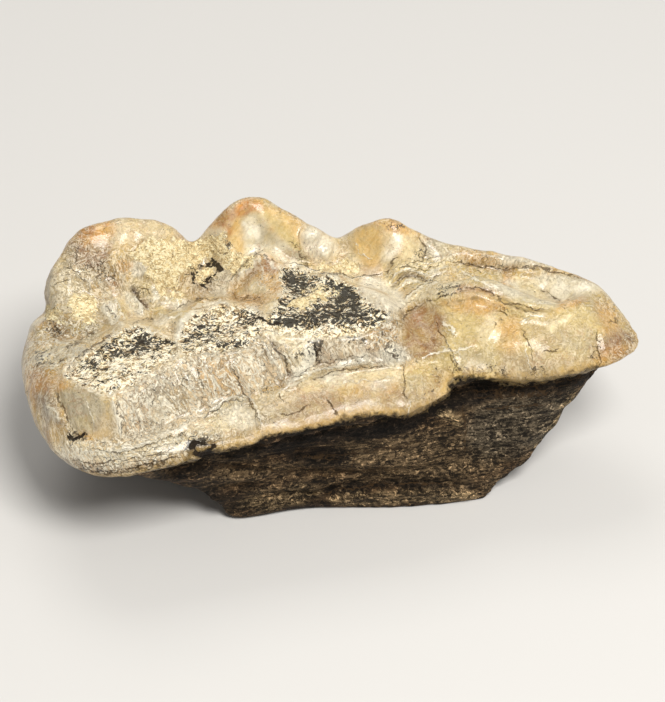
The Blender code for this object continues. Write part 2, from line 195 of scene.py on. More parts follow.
def measure_to(points: Points, line: Points) -> tuple[np.ndarray, np.ndarray, np.ndarray]:
    """Distance from each point to a line, the side it lies on and how far along.

    Args:
        points: places or points, one a row.
        line: corners of the line, in as many dimensions.
    Returns:
        The distance, the side as -1 or 1 (from the first two dimensions), and the share of the length.
    """
    lengths = np.linalg.norm(np.diff(line, axis=0), axis=1)
    ends = np.concatenate([[0], np.cumsum(lengths)])
    distance = np.full(len(points), np.inf)
    side = np.ones(len(points))
    share = np.zeros(len(points))
    for start, end, length, passed in zip(line, line[1:], lengths, ends):
        if length == 0:
            continue
        run = (end - start) / length
        offset = points - start
        along = np.clip(offset @ run, 0, length)
        away = np.linalg.norm(offset - along[:, None] * run, axis=1)
        nearer = away < distance
        distance[nearer] = away[nearer]
        side[nearer] = np.where(run[0] * offset[nearer, 1] > run[1] * offset[nearer, 0], 1, -1)
        share[nearer] = (passed + along[nearer]) / ends[-1]
    return distance, side, share


def inside(places: Points, outline: Points) -> np.ndarray:
    """Whether each place lies inside the closed outline.

    Args:
        places: places on the sheet, one a row.
        outline: corners of the outline; the last is the first again.
    Returns:
        True or false for each place.
    """
    result = np.zeros(len(places), bool)
    for (x0, y0), (x1, y1) in zip(outline, outline[1:]):
        if y0 != y1:
            crosses = (y0 > places[:, 1]) != (y1 > places[:, 1])
            result ^= crosses & (places[:, 0] < x0 + (x1 - x0) * (places[:, 1] - y0) / (y1 - y0))
    return result


@dataclass(frozen=True)
class Rough:
    """A random field: lumps to a millimetre, evenly or for each axis, layers, seed and height."""

    scale: Union[float, Triple]
    layers: int
    seed: float
    height: float = 1.0

    def at(self, points: Points) -> np.ndarray:
        """The field's value at each point.

        Args:
            points: points in millimetres.
        Returns:
            Smooth values of about -1 to 1, times the height.
        """
        moved = points * np.array(self.scale, float) + self.seed
        values = [noise.fractal(Vector(place), 1.0, 2.0, self.layers, noise_basis="PERLIN_ORIGINAL")
                  for place in moved]
        return np.array(values) * self.height


# ---------------------------------------------------------------- objects and materials

def new_object(name: str, data: bpy.types.ID) -> bpy.types.Object:
    """Put a new object into the scene.

    Args:
        name: the object's name.
        data: its mesh, light or camera.
    Returns:
        The object.
    """
    obj = bpy.data.objects.new(name, data)
    bpy.context.scene.collection.objects.link(obj)
    return obj


def made_plain(draft: bpy.types.Object, name: str) -> bpy.types.Object:
    """Turn a draft and its modifiers into an object with a plain mesh.

    Args:
        draft: the draft, which is removed.
        name: the new object's name.
    Returns:
        The plain object.
    """
    mesh = bpy.data.meshes.new_from_object(draft.evaluated_get(bpy.context.evaluated_depsgraph_get()))
    bpy.data.objects.remove(draft)
    mesh.name = name
    return new_object(name, mesh)


def new_material(name: str, **settings: Value) -> tuple[bpy.types.Material, bpy.types.Node]:
    """Start a material.

    Args:
        name: the material's name.
        settings: values for the shader; an underscore in a name stands for a space.
    Returns:
        The material and its shader.
    """
    material = bpy.data.materials.new(name)
    material.use_nodes = True
    shader = material.node_tree.nodes["Principled BSDF"]
    for setting, value in settings.items():
        shader.inputs[setting.replace("_", " ")].default_value = value
    return material, shader


# ---------------------------------------------------------------- the sheet and the skin

@dataclass(frozen=True)
class Viewpoint:
    """Where the tooth is looked at from, and the sheet that its marks are drawn on."""

    azimuth: float = -12.0
    elevation: float = 40.0
    distance: float = 220.0
    target: Triple = (0.3, -1.5, 9.9)
    units: float = 13.3              # sheet units to a millimetre at the target
    width: int = 665
    height: int = 702

    def axes(self) -> np.ndarray:
        """The sheet's directions.

        Returns:
            Unit vectors to the right, up and away from the eye.
        """
        turn, lift = math.radians(self.azimuth), math.radians(self.elevation)
        right = np.array([math.cos(turn), math.sin(turn), 0.0])
        away = np.array([-math.sin(turn) * math.cos(lift), math.cos(turn) * math.cos(lift), -math.sin(lift)])
        return np.array([right, np.cross(right, away), away])

    def eye(self) -> np.ndarray:
        """The eye's place."""
        return np.array(self.target) - self.axes()[2] * self.distance

    def on_sheet(self, points: Points) -> Points:
        """The place of each point on the sheet.

        Args:
            points: points in millimetres.
        Returns:
            Places on the sheet, one a row.
        """
        right, up, away = ((points - self.eye()) @ self.axes().T).T
        reach = self.units * self.distance
        return np.column_stack([self.width / 2 + reach * right / away, self.height / 2 - reach * up / away])


class Skin:
    """The fine skin of the tooth, with its points, normals and what is seen from the sheet."""

    MERGED = 1e-6                    # metres within which two corners of the solid are one
    VOXEL = 0.22                     # the even mesh's step
    SMOOTHING = 14                   # passes that take the facets away
    GRAZING = 0.02                   # a face turned less than this to the eye is unseen,
    FACING = 0.15                    # and one turned this much more is seen in full
    CLEAR = 0.1                      # how far above the skin a line of sight starts
    DEEPEST = 3.0                    # depths inside an outline are measured to here
    FOLD_REACH = 3                   # widths at which a fold has died out
    FOLD_END = 0.2                   # share of a fold's height that is left at its ends
    BARELY_SEEN = 0.5                # a dark line needs its points seen better than this

    def __init__(self, node: bpy.types.Object, view: Viewpoint) -> None:
        """Remesh a copy of the solid evenly and smooth its facets away.

        Args:
            node: the solid tooth.
            view: the sheet's place.
        """
        self.view = view
        self.obj = self._remeshed(node)
        self.mesh = self.obj.data
        self.edges = np.zeros(len(self.mesh.edges) * 2, np.int64)
        self.mesh.edges.foreach_get("vertices", self.edges)
        self.edges = self.edges.reshape(-1, 2)
        self.degree = np.bincount(self.edges.ravel(), minlength=len(self.mesh.vertices))
        self.refresh()
        self.seen = self._seen()

    def _remeshed(self, node: bpy.types.Object) -> bpy.types.Object:
        """The solid with an even, fine and smooth mesh.

        Args:
            node: the solid tooth.
        Returns:
            The fossil's own object.
        """
        builder = bmesh.new()
        builder.from_mesh(node.data)
        bmesh.ops.remove_doubles(builder, verts=builder.verts, dist=self.MERGED)
        merged = bpy.data.meshes.new("merged tooth")
        builder.to_mesh(merged)
        builder.free()
        draft = new_object("draft", merged)
        remesh = draft.modifiers.new("Even skin", "REMESH")
        remesh.mode = "VOXEL"
        remesh.voxel_size = self.VOXEL * MM
        smooth = draft.modifiers.new("No facets", "SMOOTH")
        smooth.factor = 0.5
        smooth.iterations = self.SMOOTHING
        return made_plain(draft, "fossil_tooth")

    def refresh(self) -> None:
        """Read the points and normals again after a change of shape."""
        self.points = self._vectors("co") / MM
        self.normals = self._vectors("normal")
        self.sheet = self.view.on_sheet(self.points)

    def _vectors(self, kind: str) -> Points:
        """Read one vector a point from the mesh.

        Args:
            kind: the mesh's name for it.
        Returns:
            The vectors, one a row.
        """
        values = np.zeros(len(self.mesh.vertices) * 3, np.float32)
        self.mesh.vertices.foreach_get(kind, values)
        return values.reshape(-1, 3).astype(float)

    def _seen(self) -> np.ndarray:
        """How well each point is seen from the sheet's side.

        Returns:
            A share from 0 to 1 for each point.
        """
        tree = BVHTree.FromPolygons(self.points.tolist(), [tuple(p.vertices) for p in self.mesh.polygons])
        to_eye = self.view.eye() - self.points
        to_eye /= np.linalg.norm(to_eye, axis=1)[:, None]
        facing = (self.normals * to_eye).sum(1)
        seen = smooth_step((facing - self.GRAZING) / self.FACING)
        for i in np.flatnonzero(seen > 0):
            start = Vector(self.points[i] + self.normals[i] * self.CLEAR)
            if tree.ray_cast(start, Vector(to_eye[i]))[0] is not None:
                seen[i] = 0
        return self.spread(seen, 3)

    def steep(self, level: float) -> np.ndarray:
        """How far each point's face stands up, from 0 to 1; a higher level makes more of them steep."""
        return smooth_step(level - 2 * np.abs(self.normals[:, 2]))

    def spread(self, values: np.ndarray, passes: int) -> np.ndarray:
        """Average the values with their neighbours'.

        Args:
            values: one number a point.
            passes: how many times.
        Returns:
            The smoother values.
        """
        first, second = self.edges.T
        count = len(self.mesh.vertices)
        for _ in range(passes):
            total = np.bincount(first, values[second], count) + np.bincount(second, values[first], count)
            values = (values + total / self.degree) / 2
        return values

    def near(self, line: Points, margin: float) -> np.ndarray:
        """Find the seen points near a line.

        Args:
            line: places on the sheet.
            margin: how near, in millimetres.
        Returns:
            The numbers of the points in the box around the line.
        """
        reach = margin * self.view.units
        low, high = line.min(0) - reach, line.max(0) + reach
        close = (self.sheet > low).all(1) & (self.sheet < high).all(1) & (self.seen > 0)
        return np.flatnonzero(close)

    def folded(self, folds: dict[str, Fold], fade_share: float) -> np.ndarray:
        """Heights of ridges and furrows drawn on the sheet.

        Args:
            folds: the ridges and furrows.
            fade_share: part of a fold's length over which it dies out at each end.
        Returns:
            Millimetres for each point.
        """
        height = np.zeros(len(self.points))
        for fold in folds.values():
            line = curve_through(pairs(fold.line), closed=False)
            near = self.near(line, self.FOLD_REACH * fold.width)
            distance, _, share = measure_to(self.sheet[near], line)
            ends = smooth_step(np.minimum(share, 1 - share) / fade_share + self.FOLD_END)
            profile = np.exp(-(distance / self.view.units / fold.width) ** 2)
            height[near] += fold.height * profile * ends * self.seen[near]
        return height

    def lines_near(self, lines: list[tuple[Outline, float]], reach: float = 0.8,
                   fade_share: float = 0.2) -> tuple[np.ndarray, np.ndarray]:
        """Signed distance from each point to the nearest drawn line, and that line's half width.

        Args:
            lines: each line's corners and half width.
            reach: how far a line is measured.
            fade_share: part of a line's length over which it thins out at each end.
        Returns:
            The offsets and the half widths, in millimetres.
        """
        offset, width = np.full(len(self.points), reach), np.zeros(len(self.points))
        for corners, half in lines:
            line = curve_through(pairs(corners), closed=False)
            near = self.near(line, reach)
            distance, side, share = measure_to(self.sheet[near], line)
            distance = distance / self.view.units
            nearer = distance < np.abs(offset[near])
            near, distance, side, share = near[nearer], distance[nearer], side[nearer], share[nearer]
            ring = np.allclose(line[0], line[-1])
            ends = 1.0 if ring else smooth_step(np.minimum(share, 1 - share) / fade_share)
            offset[near] = distance * side
            width[near] = half * ends * (self.seen[near] > self.BARELY_SEEN)
        return offset, width

    def stained(self, tint: np.ndarray, stains: dict[str, Stain], wander: np.ndarray) -> np.ndarray:
        """Lay soft stains, some of them painted shade or painted highlights, over a tint.

        Args:
            tint: one colour a point.
            stains: the stains, in order.
            wander: how far each point strays from the drawn edges, in millimetres.
        Returns:
            The stained tint.
        """
        for stain in stains.values():
            depth = self.depth_inside(stain.outline) + wander
            cover = smooth_step(depth / stain.fade + 0.5) * stain.cover * self.seen
            tint = laid(tint, stain.tone, cover)
        return tint

    def ground(self, tone: Tone) -> np.ndarray:
        """An even tint of one tone, one colour a point."""
        return np.tile(np.array(tone.linear), (len(self.points), 1))

    def covered(self, ground: float, areas: dict[str, Area], fade: float = 0.5) -> np.ndarray:
        """Lay areas of one strength each over an even ground.

        Args:
            ground: the strength where no area lies.
            areas: the areas, in order.
            fade: how soft their edges are.
        Returns:
            The strength at each point.
        """
        strength = np.full(len(self.points), ground)
        for area in areas.values():
            cover = smooth_step(self.depth_inside(area.outline) / fade + 0.5) * self.seen
            strength = strength + (area.strength - strength) * cover
        return strength

    def relief(self, passes: int = 9) -> np.ndarray:
        """How far each point stands out of its surroundings, in millimetres."""
        broad = np.column_stack([self.spread(axis, passes) for axis in self.points.T])
        return ((self.points - broad) * self.normals).sum(1)

    def depth_inside(self, outline: Outline, margin: float = 1.2) -> np.ndarray:
        """How far inside an outline on the sheet each point lies.

        Args:
            outline: the outline's corners, x, y, x, y and so on.
            margin: how far outside it is still measured.
        Returns:
            Millimetres, below zero outside, and the margin below zero for points that aren't seen.
        """
        loop = curve_through(pairs(outline), closed=True)
        depth = np.full(len(self.points), -margin)
        near = self.near(loop, margin)
        distance, _, _ = measure_to(self.sheet[near], loop)
        distance = np.minimum(distance / self.view.units, self.DEEPEST)
        signed = np.where(inside(self.sheet[near], loop), distance, -np.minimum(distance, margin))
        depth[near] = signed * self.seen[near] - margin * (1 - self.seen[near])
        return depth

    def deepest_inside(self, outlines: dict[str, Outline]) -> np.ndarray:
        """How far inside the nearest of several outlines each point lies, in millimetres."""
        return np.max([self.depth_inside(outline) for outline in outlines.values()], axis=0)

    def lift(self, heights: np.ndarray, smooth_normals: int = 0) -> None:
        """Move the skin out along its normals, but not through the floor.

        Args:
            heights: millimetres for each point.
            smooth_normals: passes of smoothing of the directions.
        """
        directions = self.normals
        if smooth_normals:
            directions = np.column_stack([self.spread(axis, smooth_normals) for axis in directions.T])
            directions /= np.linalg.norm(directions, axis=1)[:, None]
        moved = self.points + directions * heights[:, None]
        moved[:, 2] = np.maximum(moved[:, 2], 0)
        self.mesh.vertices.foreach_set("co", (moved * MM).astype(np.float32).ravel())
        self.mesh.update()
        self.refresh()

    def keep(self, name: str, values: np.ndarray) -> None:
        """Write an attribute of the mesh.

        Args:
            name: the attribute's name.
            values: one number, one vector or one colour a point.
        """
        kinds = {1: ("FLOAT", "value"), 3: ("FLOAT_VECTOR", "vector"), 4: ("FLOAT_COLOR", "color")}
        kind, item = kinds[1 if values.ndim == 1 else values.shape[1]]
        attribute = self.mesh.attributes.new(name, kind, "POINT")
        attribute.data.foreach_set(item, values.astype(np.float32).ravel())


# ---------------------------------------------------------------- the enamel crown

# stains of the crown, with painted highlights on the lenses, the middle cusp's face and the rear cusp's
# ridge, and painted shade in the valley's gully
CROWN_STAINS_AND_PAINTED_LIGHT = placed(Stain, {
    "front cusp": {
        "left face": (Tone.SAND, 0.85, (50, 275, 70, 262, 96, 268, 94, 290, 60, 298)),
        "mauve shoulder": (Tone.MAUVE, 0.95, (70, 242, 94, 234, 112, 244, 108, 264, 92, 270, 72, 262)),
        "ochre shoulder": (Tone.OCHRE, 0.95, (78, 230, 96, 221, 118, 222, 110, 238, 84, 244)),
        "rust corner": (Tone.RUST, 0.75, (76, 236, 82, 228, 92, 225, 98, 231, 90, 236, 82, 241), 0.4),
        "pale top": (Tone.SAND, 0.85, (114, 220, 150, 220, 172, 230, 160, 238, 138, 240, 118, 236)),
        "grey edge": (Tone.GREY, 0.5, (62, 252, 76, 244, 78, 262, 64, 268)),
        "honey face": (Tone.HONEY, 0.7, (112, 248, 126, 244, 144, 252, 138, 264, 124, 270, 114, 264)),
        "speckled brown": (Tone.BROWN, 0.5, (96, 264, 106, 262, 116, 270, 114, 284, 104, 284, 96, 276)),
        "pearl drop": (Tone.WHITE, 0.7, (130, 264, 138, 261, 145, 268, 144, 277, 134, 275), 0.4),
        "orange drop": (Tone.AMBER, 0.6, (116, 262, 124, 260, 132, 264, 128, 271, 118, 270), 0.4),
        "orange spot": (Tone.RUST, 0.6, (107, 282, 114, 279, 122, 284, 121, 294, 112, 295), 0.35),
    },
    "front rim": {
        "brown hollow": (Tone.BROWN, 0.6, (50, 324, 60, 320, 70, 330, 66, 342, 54, 340), 0.5),
        "rust step": (Tone.OCHRE, 0.8, (
            26, 372, 34, 366, 46, 370, 58, 378, 70, 392, 58, 398, 44, 392, 36, 408, 28, 396), 1.2),
        "rust seam": (Tone.RUST, 0.45, (28, 380, 34, 370, 42, 376, 52, 388, 44, 392, 38, 386, 34, 404), 0.7),
        "pale fan": (Tone.CREAM, 0.7, (34, 350, 60, 342, 90, 344, 84, 352, 60, 364, 36, 362)),
    },
    "valley": {
        "olive floor": (Tone.SAND, 0.7, (
            96, 296, 140, 280, 160, 290, 190, 298, 188, 320, 160, 326, 110, 330)),
        "olive pool": (Tone.OLIVE, 0.85, (136, 281, 144, 279, 152, 286, 152, 294, 142, 290)),
        "first olive pad": (Tone.OLIVE, 0.85, (151, 308, 160, 306, 168, 310, 164, 318, 152, 317)),
        "second olive pad": (Tone.OLIVE, 0.85, (171, 307, 182, 304, 190, 308, 186, 317, 174, 318)),
        "pearl pad": (Tone.WHITE, 0.8, (154, 319, 162, 317, 168, 320, 164, 325, 155, 325), 0.3),
        "first bubble": (Tone.WHITE, 0.9, (151, 287, 156, 285, 161, 289, 160, 296, 153, 297), 0.3),
        "second bubble": (Tone.WHITE, 0.8, (154, 300, 158, 299, 161, 302, 158, 305), 0.3),
        # painted shade in the gully between the lenses
        "painted shade in the gully": (Tone.UMBER, 0.8, (130, 289, 134, 287, 141, 296, 149, 307, 146, 311, 138, 303), 0.3),
        "grey pool": (Tone.GREY, 0.7, (84, 324, 94, 319, 104, 326, 98, 337, 86, 335)),
        "lens heart": (Tone.OLIVE, 0.8, (108, 302, 120, 301, 125, 312, 123, 322, 113, 316)),
        # painted highlights along the edges of the lenses
        "painted highlight of the first lens": (Tone.WHITE, 0.95, (
            109, 303, 112, 302, 118, 314, 124, 324, 120, 325, 112, 314), 0.25),
        "painted highlight of the second lens": (Tone.PEARL, 0.95, (
            126, 294, 134, 296, 142, 306, 142, 315, 133, 312, 128, 304), 0.3),
        "painted highlight of the third lens": (Tone.WHITE, 0.8, (103, 304, 106, 303, 110, 314, 115, 324, 108, 318), 0.25),
        "pearl beside the pit": (Tone.PEARL, 0.8, (210, 286, 222, 270, 236, 276, 232, 292, 214, 298)),
        "shade under the pit": (Tone.TAN, 0.7, (192, 284, 206, 285, 220, 278, 224, 286, 212, 294, 196, 293)),
        "white threads": (Tone.WHITE, 0.8, (162, 303, 180, 300, 196, 304, 180, 310, 166, 308), 0.4),
    },
    "second field": {
        "honey arch": (Tone.HONEY, 0.8, (188, 310, 200, 301, 218, 298, 236, 301, 230, 307, 204, 309)),
        "white arch": (Tone.WHITE, 0.9, (
            174, 342, 176, 326, 186, 313, 200, 307, 212, 305, 200, 312, 186, 324, 180, 342), 0.3),
    },
    "middle cusp": {
        "flank": (Tone.OCHRE, 0.85, (198, 236, 206, 220, 222, 206, 230, 208, 226, 224, 222, 230, 210, 232)),
        "brown flank": (Tone.BROWN, 0.7, (216, 216, 224, 208, 228, 212, 226, 224, 218, 226), 0.3),
        "pale flank": (Tone.PEARL, 0.8, (201, 237, 208, 229, 220, 228, 224, 234, 216, 238)),
        "honey edge": (Tone.HONEY, 0.8, (228, 230, 238, 218, 244, 232, 242, 252, 230, 248)),
        "rusty ridge": (Tone.RUST, 0.65, (
            226, 226, 228, 210, 236, 204, 243, 208, 234, 218, 230, 236, 227, 240)),
        "honey slope": (Tone.HONEY, 0.85, (262, 204, 284, 212, 304, 224, 312, 262, 292, 244, 270, 222)),
        "olive slope": (Tone.OLIVE, 1.0, (
            262, 210, 270, 214, 286, 229, 299, 242, 308, 260, 300, 259, 286, 243, 272, 228)),
        "pearl face": (Tone.PEARL, 0.95, (
            244, 216, 258, 212, 266, 226, 284, 242, 302, 259, 292, 265, 268, 258, 246, 253)),
        "grey heart": (Tone.GREY, 0.5, (260, 230, 268, 232, 276, 244, 266, 246)),
        "white foot": (Tone.WHITE, 0.85, (247, 247, 262, 247, 286, 256, 300, 264, 284, 264, 258, 257), 0.3),
        "grey streak": (Tone.GREY, 0.8, (295, 252, 300, 252, 308, 262, 303, 263), 0.3),
        # white enamel with a painted highlight on the face's slope
        "white face with painted highlight": (Tone.WHITE, 1.0, (246, 218, 254, 213, 259, 220, 259, 236, 250, 240, 246, 230), 0.3),
        "ochre crown": (Tone.AMBER, 1.0, (234, 208, 242, 199, 258, 200, 264, 208, 254, 213, 242, 215)),
        "rust point": (Tone.RUST, 0.65, (238, 209, 246, 203, 256, 203, 262, 212, 252, 213, 244, 216), 0.4),
        "pale beads": (Tone.WHITE, 0.8, (300, 232, 318, 227, 334, 236, 338, 252, 322, 262, 306, 254)),
        "honey hem": (Tone.HONEY, 0.5, (316, 226, 338, 238, 342, 248, 332, 242), 0.4),
    },
    "conule": {
        "ground": (Tone.PEACH, 0.8, (230, 292, 234, 280, 250, 270, 264, 280, 264, 300, 238, 304)),
        "peach": (Tone.PEACH, 0.9, (254, 262, 264, 254, 278, 264, 284, 280, 280, 298, 264, 292)),
        "rust": (Tone.RUST, 0.85, (254, 269, 259, 260, 266, 256, 275, 262, 280, 272, 268, 273), 0.4),
        "pearl ridge": (Tone.WHITE, 0.9, (
            235, 281, 241, 271, 250, 263, 258, 256, 260, 260, 251, 268, 241, 279), 0.3),
        "brown flank": (Tone.BROWN, 0.6, (241, 283, 250, 271, 259, 262, 262, 266, 256, 274, 247, 284), 0.4),
        "brown foot": (Tone.OCHRE, 0.6, (232, 297, 250, 294, 270, 296, 266, 303, 240, 303), 0.4),
        "pale face": (Tone.CREAM, 0.9, (
            240, 293, 248, 286, 254, 279, 258, 284, 266, 288, 262, 293, 250, 294), 0.3),
    },
    "third field": {
        "pale far rim": (Tone.WHITE, 0.7, (280, 266, 306, 268, 340, 278, 356, 284, 330, 276, 300, 271), 0.3),
        "white enamel": (Tone.WHITE, 0.9, (358, 281, 380, 279, 402, 294, 408, 304, 396, 312, 374, 303)),
    },
    "rear cusp": {
        "honey": (Tone.HONEY, 0.8, (350, 230, 368, 224, 382, 232, 380, 258, 366, 268, 352, 250)),
        "grey side": (Tone.GREY, 0.6, (340, 240, 352, 232, 354, 256, 344, 258)),
        "olive": (Tone.CREAM, 0.6, (382, 232, 404, 234, 422, 246, 412, 266, 384, 268)),
        "peach top": (Tone.PEACH, 0.7, (368, 222, 400, 222, 424, 232, 404, 233, 376, 228)),
        # painted highlight along the rear cusp's ridge
        "ridge with painted highlight": (Tone.WHITE, 0.95, (394, 236, 403, 234, 400, 250, 388, 263, 384, 254), 0.5),
        "pearl side": (Tone.PEARL, 0.85, (430, 238, 446, 246, 454, 255, 440, 263, 426, 256)),
    },
    "rear folds": {
        "olive": (Tone.YELLOW, 0.6, (386, 268, 414, 262, 452, 260, 450, 270, 414, 286, 388, 286)),
        "brown trough": (Tone.STRAW, 0.8, (
            400, 276, 414, 270, 430, 276, 442, 270, 440, 275, 428, 281, 412, 277), 0.3),
        "cream": (Tone.CREAM, 0.8, (404, 304, 418, 288, 440, 282, 464, 284, 462, 292, 436, 298)),
    },
    "talon rim": {
        "peach": (Tone.PEACH, 0.7, (454, 250, 482, 250, 506, 256, 500, 263, 470, 262)),
        "white": (Tone.WHITE, 0.7, (500, 254, 522, 256, 546, 264, 538, 268, 506, 266), 0.4),
    },
    "talon shelf": {
        "olive": (Tone.OLIVE, 0.9, (448, 266, 480, 268, 502, 276, 494, 290, 470, 282)),
    },
    "talon basin": {
        "pearl": (Tone.PEARL, 0.95, (
            482, 284, 512, 279, 546, 274, 584, 277, 600, 290, 572, 298, 560, 305, 530, 308, 506, 300)),
        "white": (Tone.WHITE, 0.6, (545, 280, 580, 282, 590, 290, 560, 292)),
        "olive thread": (Tone.OLIVE, 0.5, (514, 272, 532, 276, 540, 292, 522, 290)),
    },
    "talon crest": {
        "rust": (Tone.RUST, 0.85, (
            452, 292, 470, 286, 492, 290, 510, 299, 524, 308, 514, 313, 494, 305, 470, 297), 0.6),
        "ochre": (Tone.AMBER, 1.0, (
            516, 306, 534, 309, 550, 310, 562, 303, 584, 297, 590, 302, 570, 311, 544, 319), 0.5),
    },
    "talon": {
        "ground": (Tone.OLIVE, 0.9, (
            404, 350, 410, 312, 470, 292, 560, 306, 606, 292, 636, 330, 636, 352, 600, 368, 480, 382,
            440, 370), 1.0),
    },
    "talon lump": {
        "peach top": (Tone.OCHRE, 0.6, (440, 302, 460, 296, 488, 298, 506, 306, 488, 314, 456, 312)),
        "brown stain": (Tone.BROWN, 1.0, (
            403, 334, 408, 314, 425, 304, 444, 315, 446, 338, 432, 354, 410, 353), 1.4),
        "umber heart": (Tone.UMBER, 0.5, (408, 334, 412, 322, 424, 314, 434, 326, 434, 342, 418, 348), 1.2),
        "ochre heart": (Tone.OCHRE, 0.25, (405, 334, 410, 318, 424, 308, 438, 318, 440, 340, 420, 350), 1.2),
        "brown foot": (Tone.BROWN, 0.5, (398, 338, 408, 348, 432, 354, 420, 360, 404, 354)),
        "olive glass": (Tone.OLIVE, 0.8, (446, 332, 452, 316, 470, 316, 480, 336, 466, 350, 450, 350), 1.2),
        "cream pleat": (Tone.CREAM, 0.7, (478, 332, 494, 314, 500, 330, 488, 348)),
        "ochre pleat": (Tone.OCHRE, 0.6, (498, 324, 516, 320, 522, 340, 512, 354, 500, 346), 1.2),
        "yellow glass": (Tone.STRAW, 0.6, (528, 326, 548, 318, 564, 322, 562, 346, 540, 352), 1.2),
        "white streak": (Tone.CREAM, 0.9, (548, 326, 560, 318, 576, 312, 568, 321, 552, 331), 0.4),
        "pearl glass": (Tone.GREY, 0.55, (562, 334, 578, 328, 594, 332, 595, 352, 580, 358, 564, 350), 1.4),
    },
    "talon tip": {
        "ochre": (Tone.OCHRE, 0.6, (596, 302, 612, 303, 622, 320, 618, 336, 602, 330), 1.2),
        "brown": (Tone.BROWN, 0.95, (598, 342, 626, 330, 640, 348, 616, 368, 600, 362), 1.4),
        "ochre foot": (Tone.OCHRE, 0.55, (596, 356, 612, 346, 628, 344, 634, 352, 612, 368, 596, 368), 0.9),
    },
    "talon edge": {
        "straw": (Tone.STRAW, 0.75, (500, 354, 540, 356, 596, 360, 594, 376, 540, 388, 500, 388), 1.0),
        "grey": (Tone.GREY, 0.6, (456, 356, 480, 350, 496, 358, 490, 372, 462, 372)),
    },
})

# stains of the walls and the ledge, with painted highlights on the ledge's crest, back and glints
WALL_STAINS_AND_HIGHLIGHTS = placed(Stain, {
    "near walls": {
        "ground": (Tone.IVORY, 0.85, (
            114, 400, 180, 360, 270, 340, 380, 336, 384, 362, 300, 372, 240, 400, 190, 424, 128, 444), 1.0),
    },
    "hem": {
        "ground": (Tone.IVORY, 0.7, (56, 444, 120, 440, 210, 420, 230, 446, 160, 468, 84, 476), 1.0),
    },
    "front facet": {
        "grey glass": (Tone.GREY, 1.0, (56, 394, 78, 388, 102, 397, 106, 412, 94, 432, 76, 430, 64, 414)),
        "honey side": (Tone.STRAW, 0.6, (98, 416, 112, 412, 120, 438, 104, 444, 92, 436), 0.9),
    },
    "front strip": {
        "grey": (Tone.TAN, 1.0, (34, 396, 52, 394, 66, 424, 66, 442, 52, 436, 40, 414), 0.9),
        "honey": (Tone.HONEY, 0.6, (50, 424, 64, 428, 62, 442, 52, 438)),
        "white": (Tone.PEARL, 0.5, (44, 406, 54, 408, 62, 420, 52, 418), 0.5),
    },
    "fold wall": {
        "cream": (Tone.IVORY, 0.75, (120, 400, 150, 380, 206, 370, 226, 395, 182, 426, 128, 442)),
        "olive": (Tone.OLIVE, 0.4, (166, 390, 190, 388, 188, 408, 168, 410)),
        "mauve": (Tone.PEACH, 0.55, (198, 362, 232, 358, 244, 388, 212, 398)),
    },
    "all walls": {
        "warm": (Tone.PEACH, 0.3, (
            126, 400, 180, 364, 270, 344, 300, 366, 240, 400, 180, 426, 124, 440), 1.5),
    },
    "fold wall face": {
        "pearl": (Tone.PEARL, 0.6, (146, 376, 164, 374, 172, 410, 158, 436, 148, 410)),
    },
    "third wall": {
        "olive": (Tone.CREAM, 0.7, (284, 344, 306, 342, 308, 362, 290, 368)),
        "mauve": (Tone.MAUVE, 0.45, (314, 346, 348, 338, 374, 340, 378, 354, 350, 364, 320, 366)),
        "white fold": (Tone.WHITE, 0.95, (306, 345, 314, 347, 315, 362, 302, 376, 286, 384, 298, 368), 0.35),
        "beads": (Tone.WHITE, 0.8, (336, 362, 356, 354, 374, 354, 366, 362, 344, 368), 0.4),
        "peach": (Tone.PEACH, 0.6, (362, 332, 390, 322, 398, 340, 380, 352)),
        "white corner": (Tone.WHITE, 0.9, (378, 352, 396, 346, 412, 358, 398, 366, 380, 364), 0.5),
    },
    "ledge": {
        "bright swelling": (Tone.CREAM, 0.9, (212, 414, 234, 398, 252, 406, 262, 432, 240, 446, 214, 450)),
        # painted highlight on the ledge's crest
        "painted highlight on the crest": (Tone.WHITE, 0.8, (222, 412, 246, 404, 258, 424, 236, 430)),
        "cream step": (Tone.SAND, 0.9, (256, 398, 284, 388, 302, 390, 298, 410, 270, 414, 260, 424)),
        "grey foot": (Tone.GREY, 0.85, (258, 418, 276, 410, 298, 404, 304, 424, 266, 440)),
        # cream with a painted highlight along the ledge's back
        "cream back with painted highlight": (Tone.CREAM, 0.95, (
            298, 380, 330, 371, 372, 370, 396, 366, 400, 378, 350, 386, 306, 392)),
        "honey belly": (Tone.STRAW, 0.85, (
            292, 400, 326, 394, 372, 396, 406, 386, 406, 408, 340, 420, 296, 426), 1.0),
        "yellow spot": (Tone.OCHRE, 0.55, (382, 390, 398, 386, 402, 402, 386, 406)),
        "first glint": (Tone.WHITE, 0.85, (320, 374, 340, 371, 350, 376, 344, 382, 322, 383)),
        "second glint": (Tone.WHITE, 0.75, (370, 384, 386, 382, 388, 389, 374, 391)),
        "olive end": (Tone.OLIVE, 0.9, (408, 368, 448, 360, 456, 382, 430, 400, 406, 400), 1.0),
        "brown end": (Tone.BROWN, 0.5, (430, 374, 446, 366, 454, 378, 438, 390), 0.9),
        "grey end": (Tone.GREY, 0.6, (408, 378, 424, 376, 426, 392, 410, 396)),
        "tan hem": (Tone.STRAW, 0.95, (
            204, 438, 250, 428, 300, 414, 350, 403, 400, 394, 432, 388, 444, 398, 430, 420, 390, 430,
            340, 440, 290, 450, 200, 464), 0.9),
        "brown hem": (Tone.TAN, 0.8, (
            300, 424, 350, 414, 400, 407, 436, 396, 440, 410, 400, 424, 340, 434, 300, 440)),
        "brown veil": (Tone.BROWN, 0.26, (
            262, 428, 268, 402, 326, 386, 400, 378, 408, 400, 360, 418, 300, 430), 1.0),
        "umber foot": (Tone.BROWN, 0.5, (
            62, 458, 110, 464, 168, 458, 202, 446, 200, 454, 150, 468, 100, 478)),
        "pale start": (Tone.CREAM, 0.6, (70, 440, 110, 446, 150, 440, 200, 424, 204, 436, 150, 456, 90, 458)),
    },
})

